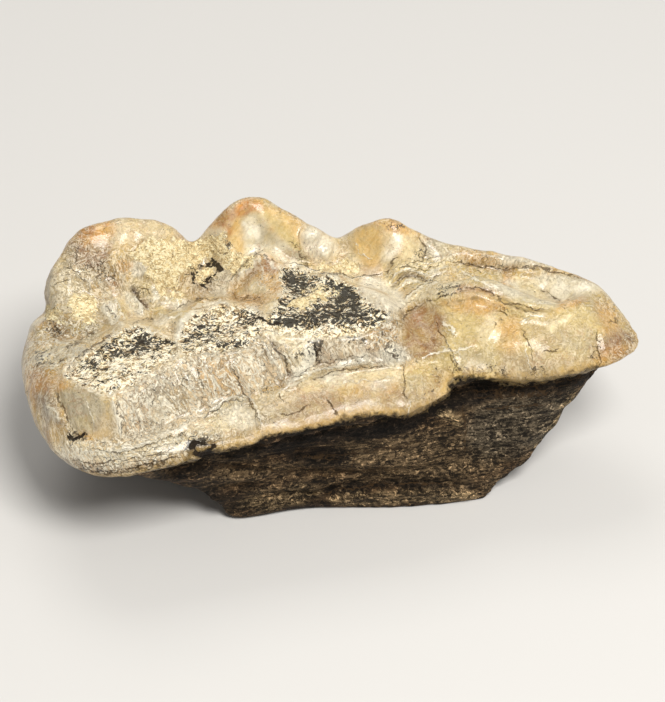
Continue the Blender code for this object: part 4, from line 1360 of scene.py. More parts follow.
ROOT_FOLDS = named(Fold, {
    "bottom ledge": (0.4, 0.4, (335, 499, 360, 495, 390, 493, 420, 492, 450, 493, 480, 496)),
    "crevice": (0.35, -0.5, (300, 497, 330, 492, 350, 487, 380, 484, 410, 483, 440, 484, 470, 488)),
    "left ledge": (0.4, 0.3, (240, 492, 270, 486, 300, 486, 330, 494)),
    "upper crevice": (0.3, -0.3, (190, 464, 240, 467, 280, 470, 320, 474, 350, 476)),
    "shelf": (0.4, 0.25, (180, 478, 220, 474, 260, 478, 300, 482)),
    "pocket": (0.6, -0.4, (292, 456, 310, 457, 330, 459, 342, 461)),
    "flake": (0.3, 0.3, (440, 416, 450, 414, 458, 419, 460, 427)),
    "band under the talon": (0.35, -0.3, (450, 394, 480, 390, 520, 392, 560, 391)),
    "band below it": (0.3, 0.2, (456, 402, 490, 398, 530, 400)),
})


@dataclass
class Roots:
    """The broken roots: woody ledges and fibres under the enamel's edge."""

    # the edge of the enamel, counter-clockwise from the talon's tip: x, y and height
    edge: tuple[Triple, ...] = (
        (22.2, -5.3, 10.0), (20.6, -1.3, 10.0), (16.4, 1.9, 9.7), (10.8, 5.4, 9.1), (4.2, 7.7, 8.7),
        (-4.0, 9.6, 8.3), (-9.2, 9.2, 8.5), (-14.4, 9.8, 8.1), (-19.6, 7.3, 8.1), (-21.7, 3.1, 8.3),
        (-22.3, -1.0, 8.3), (-22.0, -5.7, 8.1), (-20.6, -8.9, 7.9), (-17.2, -10.1, 8.4), (-11.0, -9.9, 9.1),
        (-4.0, -9.5, 9.5), (4.0, -9.1, 9.9), (9.8, -7.4, 10.4), (15.0, -8.4, 10.3), (19.8, -7.7, 9.9),
    )
    drawn_reach: float = 2.0         # how near the drawn edge is trusted over the loop
    trust: float = 20.0              # how quickly that trust is full
    ragged: Rough = Rough(1.1, 4, 17.0, 0.22)  # how far the edge strays
    enamel_ease: float = 0.4         # over which the enamel's own shapes die out at its edge
    fibres: Rough = Rough((0.3, 0.3, 1.3), 4, 5.5, 0.09)
    ledges: Rough = Rough((0.12, 0.12, 0.5), 2, 8.8, 0.05)
    fade_share: float = 0.15         # part of a fold's length over which it dies out at each end
    ease: float = 0.5                # below the edge, over which the wood starts
    foot: float = 0.1                # kept flat for the tooth to rest on
    foot_ease: float = 0.6
    lip_width: float = 0.3
    lip_depth: float = 0.3
    ground_tone: Tone = Tone.UMBER
    drifts: tuple[Drift, ...] = (
        Drift(Tone.SOOT, Rough((0.2, 0.2, 0.5), 3, 60.0), gain=2.4, start=0.2, cover=0.7),
        Drift(Tone.BARK, Rough((0.2, 0.2, 0.5), 3, 69.0), gain=2.4, start=0.2, cover=0.7))
    stain_edge: Rough = Rough((0.8, 0.8, 1.8), 4, 71.0, 0.4)

    def _edge_height(self, points: Points) -> np.ndarray:
        """The height of the edge's loop in the direction of each point.

        Args:
            points: points in millimetres.
        Returns:
            The heights.
        """
        edge = np.array(self.edge)
        turn = np.arctan2(edge[:, 1], edge[:, 0])
        order = np.argsort(turn)
        turn, height = turn[order], edge[order, 2]
        turn = np.concatenate([turn[-1:] - 2 * np.pi, turn, turn[:1] + 2 * np.pi])
        height = np.concatenate([height[-1:], height, height[:1]])
        return np.interp(np.arctan2(points[:, 1], points[:, 0]), turn, height)

    def measure(self, skin: Skin) -> np.ndarray:
        """How far below the enamel's edge each point lies.

        Args:
            skin: the skin of the tooth.
        Returns:
            Millimetres, below zero on the enamel.
        """
        below = self._edge_height(skin.points) - skin.points[:, 2]
        line = curve_through(pairs(ENAMEL_EDGE), closed=False)
        near = skin.near(line, self.drawn_reach)
        distance, side, share = measure_to(skin.sheet[near], line)
        distance = distance / skin.view.units
        trust = smooth_step(self.drawn_reach - distance)
        trust *= smooth_step(np.minimum(share, 1 - share) * self.trust)
        trust *= smooth_step(skin.seen[near] * self.trust)
        below[near] += (distance * side - below[near]) * trust
        return below + self.ragged.at(skin.points)

    def enamel_share(self, skin: Skin) -> np.ndarray:
        """Share of enamel at each point, from 0 to 1."""
        return 1 - smooth_step(self.measure(skin) / self.enamel_ease + 0.5)

    def build(self, skin: Skin) -> None:
        """Raise the fibres and ledges, and sink the neck behind the enamel's edge.

        Args:
            skin: the skin of the tooth.
        """
        below = self.measure(skin)
        share = smooth_step(below / self.ease) * smooth_step((skin.points[:, 2] - self.foot) / self.foot_ease)
        wood = self.fibres.at(skin.points) + self.ledges.at(skin.points)
        wood += skin.folded(ROOT_FOLDS, self.fade_share)
        lip = np.exp(-((below - self.lip_width) / self.lip_width) ** 2) * self.lip_depth
        skin.lift(share * wood - lip * smooth_step(below / self.lip_width + 0.5), smooth_normals=4)

    def dress(self, skin: Skin) -> None:
        """Paint the root's tint, and keep how far below the edge each point lies.

        Args:
            skin: the shaped skin.
        """
        tint = skin.ground(self.ground_tone)
        for drift in self.drifts:
            tint = drift.over(tint, skin.points)
        skin.keep("root_tint", skin.stained(tint, ROOT_STAINS_AND_SHADOWS, self.stain_edge.at(skin.points)))
        skin.keep("below_enamel", self.measure(skin))


@dataclass
class Lines:
    """Cracks filled with dark mineral, furrows darkened as painted shade, and painted highlights along the
    folds' crests.
    """

    furrow_share: float = 0.22       # half width of a furrow's painted shade line, as a share of the fold's depth
    widest_furrow: float = 0.05
    crest_share: float = 0.28        # half width of a crest's painted highlight line, as a share of the fold's height
    widest_crest: float = 0.4

    def dress(self, skin: Skin) -> None:
        """Keep the distance to the nearest dark line (a crack, or painted shade in a furrow) and to the
        nearest painted highlight line, and their half widths.

        Args:
            skin: the shaped skin.
        """
        folds = (*CROWN_FOLDS.values(), *ROOT_FOLDS.values())
        # dark lines: painted shade along the furrows, and the cracks
        dark = [(fold.line, min(-fold.height * self.furrow_share, self.widest_furrow))
                for fold in folds if fold.height < 0]
        dark += [(seam.line, seam.width) for seam in DARK_LINES.values()]
        # painted highlights along the crests of the narrower ridges
        pale = [(fold.line, fold.height * self.crest_share) for fold in folds
                if fold.height > 0 and fold.width <= self.widest_crest]
        for name, lines in (("seam", dark), ("crest", pale)):
            offset, width = skin.lines_near(lines)
            skin.keep(name + "_offset", offset)
            skin.keep(name + "_width", width)


# ---------------------------------------------------------------- node trees

@dataclass(frozen=True)
class Grain:
    """A shader's noise: lumps to a millimetre, evenly or for each axis, its detail, roughness and warp."""

    scale: Union[float, Triple]
    detail: float = 3.0
    rough: float = 0.55
    warp: float = 0.0


@dataclass(frozen=True)
class Vein:
    """A thin line where a noise passes a level, and how strongly it shows."""

    level: float
    width: float
    cover: float = 1.0


@dataclass(frozen=True)
class Layer:
    """A tone laid over a colour where a value passes from the first level to the second."""

    tone: Union[Tone, Paint]
    levels: Limits
    cover: float = 1.0


class Graph:
    """Builds a node tree from sockets and plain values."""

    VEIN_CORE = 0.4                  # share of a vein's width that shows in full

    def __init__(self, tree: bpy.types.NodeTree) -> None:
        """Start on a tree."""
        self.tree = tree

    def put(self, socket: Socket, value: Value) -> None:
        """Link a socket to another one, or set its value.

        Args:
            socket: the input.
            value: another socket, a tone or a plain value.
        """
        if isinstance(value, Socket):
            self.tree.links.new(value, socket)
        else:
            socket.default_value = value.linear if isinstance(value, Tone) else value

    def node(self, kind: str, given: dict[str | int, Value] | None = None,
             **settings: object) -> bpy.types.Node:
        """Add a node.

        Args:
            kind: Blender's name for the node.
            given: values or sockets for its inputs, by the input's name or number.
            settings: the node's own settings.
        Returns:
            The node.
        """
        made = self.tree.nodes.new(kind)
        for name, setting in settings.items():
            setattr(made, name, setting)
        for place, value in (given or {}).items():
            self.put(made.inputs[place], value)
        return made

    def use(self, group: bpy.types.NodeTree, **given: Value) -> bpy.types.bpy_prop_collection:
        """Place a node group with values or sockets for its inputs, and give its outputs."""
        return self.node("ShaderNodeGroup", given, node_tree=group).outputs

    def math(self, operation: str, *values: Value) -> Socket:
        """A sum, product or other operation on numbers, by Blender's name for it."""
        return self.node("ShaderNodeMath", dict(enumerate(values)), operation=operation).outputs[0]

    def plus(self, first: Value, second: Value) -> Socket:
        """The sum of two numbers."""
        return self.math("ADD", first, second)

    def minus(self, first: Value, second: Value) -> Socket:
        """The first number less the second."""
        return self.math("SUBTRACT", first, second)

    def times(self, *factors: Value) -> Socket:
        """The product of the numbers."""
        return reduce(lambda first, second: self.math("MULTIPLY", first, second), factors)

    def greatest(self, *numbers: Value) -> Socket:
        """The greatest of the numbers."""
        return reduce(lambda first, second: self.math("MAXIMUM", first, second), numbers)

    def scaled(self, value: Value, factor: Value, added: Value) -> Socket:
        """The value times a factor, and more added."""
        return self.math("MULTIPLY_ADD", value, factor, added)

    def centred(self, value: Value, reach: float) -> Socket:
        """A noise of 0 to 1 moved to lie evenly around 0, over so much in all."""
        return self.scaled(value, reach, -reach / 2)

    def step(self, value: Value, low: Value, high: Value) -> Socket:
        """Eased rise from 0 at low to 1 at high; it falls where low is above high."""
        given = {"Value": value, "From Min": low, "From Max": high}
        return self.node("ShaderNodeMapRange", given, interpolation_type="SMOOTHSTEP").outputs[0]

    def above(self, value: Value, level: Value, edge: float) -> Socket:
        """Eased rise that starts at a level and takes so much."""
        return self.step(value, level, self.plus(level, edge))

    def mix(self, share: Value, first: Value, second: Value, blend: str = "MIX") -> Socket:
        """A colour between two, or the two blended in another of Blender's ways."""
        given = {0: share, 6: first, 7: second}
        return self.node("ShaderNodeMix", given, data_type="RGBA", blend_type=blend).outputs[2]

    def blend(self, share: Value, first: Value, second: Value) -> Socket:
        """A number between two."""
        given = {0: share, 2: first, 3: second}
        return self.node("ShaderNodeMix", given, data_type="FLOAT").outputs[0]

    def lay(self, colour: Value, value: Value, layer: Layer, within: Value = 1.0) -> Socket:
        """The colour with a layer over it where the value says, and only within a share."""
        share = self.times(self.step(value, *layer.levels), layer.cover, within)
        return self.mix(share, colour, layer.tone)

    def shaded(self, share: Value, colour: Value, level: Value) -> Socket:
        """The colour made darker or lighter by a level around 1."""
        grey = self.node("ShaderNodeCombineColor", {"Red": level, "Green": level, "Blue": level})
        return self.mix(share, colour, grey.outputs[0], "MULTIPLY")

    def grain(self, position: Value, grain: Grain) -> Socket:
        """Noise of about 0 to 1.

        Args:
            position: the place in millimetres.
            grain: the noise's measures.
        Returns:
            The noise.
        """
        scale = grain.scale
        if isinstance(scale, tuple):
            position, scale = self.stretched(position, scale), 1.0
        given = {"Vector": position, "Scale": scale, "Detail": grain.detail, "Roughness": grain.rough,
                 "Distortion": grain.warp}
        return self.node("ShaderNodeTexNoise", given).outputs[0]

    def vein(self, value: Value, vein: Vein) -> Socket:
        """The mask of a thin line where the value passes the vein's level."""
        away = self.math("ABSOLUTE", self.minus(value, vein.level))
        return self.times(self.step(away, vein.width, self.VEIN_CORE * vein.width), vein.cover)

    def stretched(self, position: Value, scale: Triple) -> Socket:
        """The position with each axis scaled."""
        return self.node("ShaderNodeVectorMath", {0: position, 1: scale}, operation="MULTIPLY").outputs[0]

    def position(self) -> Socket:
        """The place on the piece in millimetres."""
        return self.stretched(self.node("ShaderNodeTexCoord").outputs["Object"], (1 / MM,) * 3)

    def stored(self, name: str, output: str = "Fac") -> Socket:
        """An attribute that the skin keeps, as a number or as another output."""
        return self.node("ShaderNodeAttribute", attribute_name=name).outputs[output]

    def bump(self, height: Value, strength: float) -> Socket:
        """The normal that a height in millimetres gives."""
        given = {"Height": height, "Distance": MM, "Strength": strength}
        return self.node("ShaderNodeBump", given).outputs[0]


class Group(Graph):
    """A shader node group with named inputs and outputs."""

    SOCKETS = {"Position": "NodeSocketVector", "Girth": "NodeSocketVector", "Color": "NodeSocketColor",
               "Tint": "NodeSocketColor"}

    def __init__(self, name: str, inputs: tuple[str, ...], outputs: tuple[str, ...]) -> None:
        """Start a group.

        Args:
            name: the group's name.
            inputs: names of its inputs.
            outputs: names of its outputs.
        """
        super().__init__(bpy.data.node_groups.new(name, "ShaderNodeTree"))
        for side, names in (("INPUT", inputs), ("OUTPUT", outputs)):
            for socket in names:
                kind = self.SOCKETS.get(socket, "NodeSocketFloat")
                self.tree.interface.new_socket(socket, in_out=side, socket_type=kind)
        self.given = self.tree.nodes.new("NodeGroupInput").outputs
        self.result = self.tree.nodes.new("NodeGroupOutput").inputs

    def finish(self, **results: Value) -> bpy.types.NodeTree:
        """Link the outputs and hand the group over.

        Args:
            results: what each output gives, by its name.
        Returns:
            The group's tree.
        """
        for name, value in results.items():
            self.put(self.result[name], value)
        return self.tree


# ---------------------------------------------------------------- shared patterns

@dataclass(frozen=True)
class Specks:
    """Small ragged specks that cover a share of the surface, in drifts."""

    fine: Grain = Grain(3.6, 4.0, 0.66, 0.9)
    drift: Grain = Grain(1.1, 2.0)
    drift_reach: float = 0.35
    bare: float = 0.69               # the noise's level above which nothing shows at no share,
    drop: float = 0.36               # and how far it drops at the full share
    edge: float = 0.03

    def group(self) -> bpy.types.NodeTree:
        """The specks' mask.

        Returns:
            The group's tree.
        """
        g = Group("ragged specks", ("Position", "Share"), ("Mask",))
        drift = g.centred(g.grain(g.given["Position"], self.drift), self.drift_reach)
        value = g.plus(g.grain(g.given["Position"], self.fine), drift)
        return g.finish(Mask=g.above(value, g.scaled(g.given["Share"], -self.drop, self.bare), self.edge))


@dataclass(frozen=True)
class Strokes:
    """Torn patches and short curled strokes that cover a share of the surface."""

    torn: Grain = Grain((1.7, 2.1, 2.1), 4.0, 0.68, 1.8)
    bare: float = 0.68               # as in the specks
    drop: float = 0.34
    edge: float = 0.016
    curl: Grain = Grain((1.9, 2.5, 2.5), 2.0, 0.6, 1.7)
    curl_level: float = 0.5
    half_width: float = 0.034        # of a stroke at the full share, as a step of the curl's noise
    drift: Grain = Grain(1.3)
    drift_levels: Limits = (0.4, 0.6)
    thinnest: float = 0.1            # share of the half width outside the drifts,
    swell: float = 1.3               # and what is added in them
    stroke_edge: Limits = (-0.006, 0.008)

    def group(self) -> bpy.types.NodeTree:
        """The mask of the patches and strokes.

        Returns:
            The group's tree.
        """
        g = Group("torn strokes", ("Position", "Share"), ("Mask",))
        position, share = g.given["Position"], g.given["Share"]
        patch = g.above(g.grain(position, self.torn), g.scaled(share, -self.drop, self.bare), self.edge)
        drift = g.step(g.grain(position, self.drift), *self.drift_levels)
        half = g.times(g.math("SQRT", share), self.half_width, g.scaled(drift, self.swell, self.thinnest))
        away = g.math("ABSOLUTE", g.minus(g.grain(position, self.curl), self.curl_level))
        return g.finish(Mask=g.greatest(patch, g.step(g.minus(half, away), *self.stroke_edge)))


@dataclass(frozen=True)
class WaveringLine:
    """A thin wavering line that comes and goes, from the signed distance to it and its half width."""

    waver: Grain = Grain(1.3, 5.0, 0.62)
    stray: float = 1.1               # millimetres between its furthest places
    swell: Grain = Grain(2.4)
    swell_levels: Limits = (0.36, 0.62)
    thinnest: float = 0.45           # share of the half width where it is thin,
    swelling: float = 1.1            # and what is added where it swells
    edge: float = 0.02

    def group(self) -> bpy.types.NodeTree:
        """The line's mask.

        Returns:
            The group's tree.
        """
        g = Group("wavering line", ("Position", "Offset", "Width"), ("Mask",))
        position, width = g.given["Position"], g.given["Width"]
        waver = g.centred(g.grain(position, self.waver), self.stray)
        away = g.math("ABSOLUTE", g.plus(g.given["Offset"], waver))
        swell = g.step(g.grain(position, self.swell), *self.swell_levels)
        thick = g.times(width, g.scaled(swell, self.swelling, self.thinnest))
        mask = g.step(g.minus(thick, away), -self.edge, self.edge)
        return g.finish(Mask=g.times(mask, g.step(width, 0.0, self.edge)))


@dataclass(frozen=True)
class Wrinkles:
    """Fine wrinkles with dark creases and pale crests, swirling on level faces and slanting on steep ones;
    the dark and the pale are painted shade and painted highlight, laid by the enamel.
    """

    swirl: Grain = Grain(1.5, 5.0, 0.6, 1.7)
    pleat: Grain = Grain((1.9, 1.9, 0.5), 6.0, 0.64, 1.2)
    fine: Grain = Grain(3.8, 4.0, 0.66, 1.2)
    crease: Vein = Vein(0.46, 0.02)
    fine_crease: Vein = Vein(0.43, 0.03, 0.5)
    crest: Vein = Vein(0.52, 0.045)
    fine_crest: Vein = Vein(0.56, 0.045, 0.6)
    fine_height: float = 0.3
    crest_height: float = 0.12

    def group(self) -> bpy.types.NodeTree:
        """The wrinkles' height and the masks of their creases and crests.

        Returns:
            The group's tree.
        """
        g = Group("fine wrinkles", ("Position", "Girth", "Steep"), ("Height", "Crease", "Crest"))
        position = g.given["Position"]
        pleat = g.grain(g.given["Girth"], self.pleat)
        wave = g.blend(g.given["Steep"], g.grain(position, self.swirl), pleat)
        fine = g.grain(position, self.fine)
        crease = g.greatest(g.vein(wave, self.crease), g.vein(fine, self.fine_crease))
        crest = g.greatest(g.vein(wave, self.crest), g.vein(fine, self.fine_crest))
        height = g.scaled(g.minus(crest, crease), self.crest_height, g.scaled(fine, self.fine_height, wave))
        return g.finish(Height=height, Crease=crease, Crest=crest)


# ---------------------------------------------------------------- finishes

@dataclass(frozen=True)
class EnamelFinish:
    """Glossy stained enamel: clouds under the surface, wrinkles, rusty threads and manganese specks, with
    painted shade in creases and hollows and painted highlights on crests and ridges.
    """

    cloud_grain: Grain = Grain(0.8, 5.0, 0.62, 0.8)
    cloud: Layer = Layer(Tone.OLIVE, (0.46, 0.6), 0.42)
    depth_grain: Grain = Grain(0.6, 5.0, 0.62, 0.9)
    depth: Layer = Layer(Tone.GREY, (0.52, 0.64), 0.28)
    cleared: float = 0.8             # share of the clouds that full wrinkles take away
    thread_grain: Grain = Grain(1.3, 5.0, 0.6, 1.8)
    thread: Vein = Vein(0.47, 0.02, 0.55)
    thread_tone: Tone = Tone.RUST
    thread_patches: Grain = Grain(0.35, 2.0)
    thread_levels: Limits = (0.45, 0.62)
    mottle: Grain = Grain(4.2, 4.0, 0.75)
    mottle_range: Limits = (2.4, -0.12)        # factor of the noise, and what is added
    mottle_cover: Limits = (0.45, 0.2)         # for full wrinkles, and everywhere
    # painted shade in the wrinkles' creases and in hollows, painted highlights on their crests and on ridges
    shade_tone: Paint = (0.17, 0.095, 0.04, 1)
    crease_shade_cover: float = 0.6
    highlight_tone: Tone = Tone.WHITE
    crest_highlight_cover: float = 0.95
    hollows: Layer = Layer(shade_tone, (-0.03, -0.12), 0.4)
    ridges: Layer = Layer(highlight_tone, (0.06, 0.15), 0.42)
    speck_share: float = 0.8
    wrinkled_specks: float = 0.14
    speck_cover: float = 0.85
    speck_tone: Tone = Tone.SOOT
    speck_height: float = -0.02
    wrinkle_height: Limits = (0.3, 0.03)       # for full wrinkles, and everywhere
    polish: Limits = (0.22, 0.45)
    polish_grain: Grain = Grain(1.6)

    def group(self) -> bpy.types.NodeTree:
        """The enamel's colour, roughness and relief.

        Returns:
            The group's tree.
        """
        g = Group("stained enamel with painted light", ("Position", "Girth", "Steep", "Tint", "Manganese", "Wrinkled", "Relief"),
                  ("Color", "Roughness", "Height"))
        position, wrinkled, relief = g.given["Position"], g.given["Wrinkled"], g.given["Relief"]
        folds = g.use(Wrinkles().group(), Position=position, Girth=g.given["Girth"], Steep=g.given["Steep"])
        share = g.scaled(g.given["Manganese"], self.speck_share, g.times(wrinkled, self.wrinkled_specks))
        specks = g.use(Specks().group(), Position=position, Share=share)["Mask"]

        plain = g.minus(1.0, g.times(wrinkled, self.cleared))
        colour = g.lay(g.given["Tint"], g.grain(position, self.cloud_grain), self.cloud, plain)
        colour = g.lay(colour, g.grain(position, self.depth_grain), self.depth, plain)
        patches = g.step(g.grain(position, self.thread_patches), *self.thread_levels)
        threads = g.times(g.vein(g.grain(position, self.thread_grain), self.thread), patches)
        colour = g.mix(threads, colour, self.thread_tone)
        mottle = g.scaled(g.grain(position, self.mottle), *self.mottle_range)
        colour = g.shaded(g.scaled(wrinkled, *self.mottle_cover), colour, mottle)
        # painted shade in the creases and painted highlights on the crests
        colour = g.mix(g.times(folds["Crease"], wrinkled, self.crease_shade_cover), colour, self.shade_tone)
        colour = g.mix(g.times(folds["Crest"], wrinkled, self.crest_highlight_cover), colour, self.highlight_tone)
        # painted shade in hollows and painted highlights on ridges, from the relief
        colour = g.lay(g.lay(colour, relief, self.hollows), relief, self.ridges)
        colour = g.mix(g.times(specks, self.speck_cover), colour, self.speck_tone)
        height = g.times(folds["Height"], g.scaled(wrinkled, *self.wrinkle_height))
        return g.finish(Color=colour, Roughness=g.blend(g.grain(position, self.polish_grain), *self.polish),
                        Height=g.scaled(specks, self.speck_height, height))


@dataclass(frozen=True)
class DentineFinish:
    """Bare dentine: pale grains in a tan ground, with coal-black strokes."""

    pale: Tone = Tone.CREAM
    warm: Layer = Layer(Tone.IVORY, (0.4, 0.62))
    warm_grain: Grain = Grain(1.2)
    fine: Grain = Grain((1.9, 2.4, 2.4), 3.0, 0.66, 1.7)
    gaps: Layer = Layer(Tone.TAN, (0.455, 0.43), 0.9)
    grains: Layer = Layer(Tone.WHITE, (0.5, 0.52))
    coal: Tone = Tone.COAL
    coal_cover: float = 0.94
    coal_height: float = -0.06
    grain_height: float = 0.16
    polish: Limits = (0.78, 0.5)     # of the dentine, and of the coal

    def group(self) -> bpy.types.NodeTree:
        """The dentine's colour, roughness and relief.

        Returns:
            The group's tree.
        """
        g = Group("worn dentine", ("Position", "Coal"), ("Color", "Roughness", "Height"))
        position = g.given["Position"]
        fine = g.grain(position, self.fine)
        coal = g.use(Strokes().group(), Position=position, Share=g.given["Coal"])["Mask"]
        colour = g.lay(self.pale, g.grain(position, self.warm_grain), self.warm)
        colour = g.lay(g.lay(colour, fine, self.gaps), fine, self.grains)
        colour = g.mix(g.times(coal, self.coal_cover), colour, self.coal)
        height = g.scaled(coal, self.coal_height, g.times(fine, self.grain_height))
        return g.finish(Color=colour, Roughness=g.blend(coal, *self.polish), Height=height)


@dataclass(frozen=True)
class EarthFinish:
    """Dry yellow cave earth, granular, with dark pits and painted highlights on its lumps."""

    pale: Paint = (0.84, 0.68, 0.38, 1)
    warm: Layer = Layer((0.76, 0.60, 0.31, 1), (0.35, 0.65))
    warm_grain: Grain = Grain(1.5)
    lumps: Grain = Grain((3.2, 4.2, 4.2), 4.0, 0.68, 1.2)
    gaps: Layer = Layer(Tone.STRAW, (0.46, 0.42), 0.65)
    # painted highlight: the tops of the lumps made pale
    light: Layer = Layer((0.97, 0.87, 0.58, 1), (0.5, 0.54))
    dots: Layer = Layer(Tone.UMBER, (0.37, 0.35), 0.8)
    dot_grain: Grain = Grain(3.2, 3.0, 0.6, 0.8)
    lump_height: float = 0.22

    def group(self) -> bpy.types.NodeTree:
        """The earth's colour and relief.

        Returns:
            The group's tree.
        """
        g = Group("dry earth", ("Position",), ("Color", "Height"))
        position = g.given["Position"]
        lumps = g.grain(position, self.lumps)
        colour = g.lay(self.pale, g.grain(position, self.warm_grain), self.warm)
        colour = g.lay(g.lay(colour, lumps, self.gaps), lumps, self.light)
        colour = g.lay(colour, g.grain(position, self.dot_grain), self.dots)
        return g.finish(Color=colour, Height=g.times(lumps, self.lump_height))


@dataclass(frozen=True)
class RootFinish:
    """Dark woody root: mottled and fibrous, with near-black gaps."""

    dark: Paint = (0.012, 0.009, 0.006, 1)
    fibre: Grain = Grain((0.5, 0.5, 3.0), 6.0, 0.7, 0.9)
    scale: Grain = Grain((2.6, 2.6, 4.6), 5.0, 0.74, 0.8)
    fibre_share: float = 0.3         # of the fibres in the mottle,
    scale_share: float = 0.7         # and of the scales
    patch: Grain = Grain((0.5, 0.5, 0.9), 4.0, 0.6, 1.0)
    patch_reach: float = 0.3
    mottle_levels: Limits = (0.43, 0.6)
    mottle_range: Limits = (1.85, 0.15)        # what the mottle adds to the darkest level, and that level
    fleck: Grain = Grain(2.8, 4.0, 0.7, 1.2)
    fleck_levels: Limits = (0.56, 0.6)
    fleck_range: Limits = (1.9, 0.75)
    gap: Vein = Vein(0.46, 0.03, 0.75)
    fibre_height: float = 0.35
    scale_height: float = 0.22
    polish: Limits = (0.75, 0.5)

    def group(self) -> bpy.types.NodeTree:
        """The root's colour, roughness and relief.

        Returns:
            The group's tree.
        """
        g = Group("woody root", ("Position", "Tint"), ("Color", "Roughness", "Height"))
        position = g.given["Position"]
        fibre, scale = g.grain(position, self.fibre), g.grain(position, self.scale)
        mottle = g.plus(g.scaled(scale, self.scale_share, g.times(fibre, self.fibre_share)),
                        g.centred(g.grain(position, self.patch), self.patch_reach))
        mottle = g.scaled(g.step(mottle, *self.mottle_levels), *self.mottle_range)
        fleck = g.scaled(g.step(g.grain(position, self.fleck), *self.fleck_levels), *self.fleck_range)
        colour = g.shaded(1.0, g.shaded(1.0, g.given["Tint"], mottle), fleck)
        colour = g.mix(g.vein(fibre, self.gap), colour, self.dark)
        height = g.scaled(scale, self.scale_height, g.times(fibre, self.fibre_height))
        return g.finish(Color=colour, Roughness=g.blend(fibre, *self.polish), Height=height)


@dataclass(frozen=True)
class CrumbFinish:
    """Loose crumbs of the same dry earth."""

    roughness: float = 0.95
    bump: float = 0.5

    def material(self, earth: bpy.types.NodeTree) -> bpy.types.Material:
        """The crumbs' material.

        Args:
            earth: the earth's group.
        Returns:
            The material.
        """
        material, shader = new_material("dry earth crumbs", Roughness=self.roughness)
        g = Graph(material.node_tree)
        crumb = g.use(earth, Position=g.position())
        g.put(shader.inputs["Base Color"], crumb["Color"])
        g.put(shader.inputs["Normal"], g.bump(crumb["Height"], self.bump))
        return material


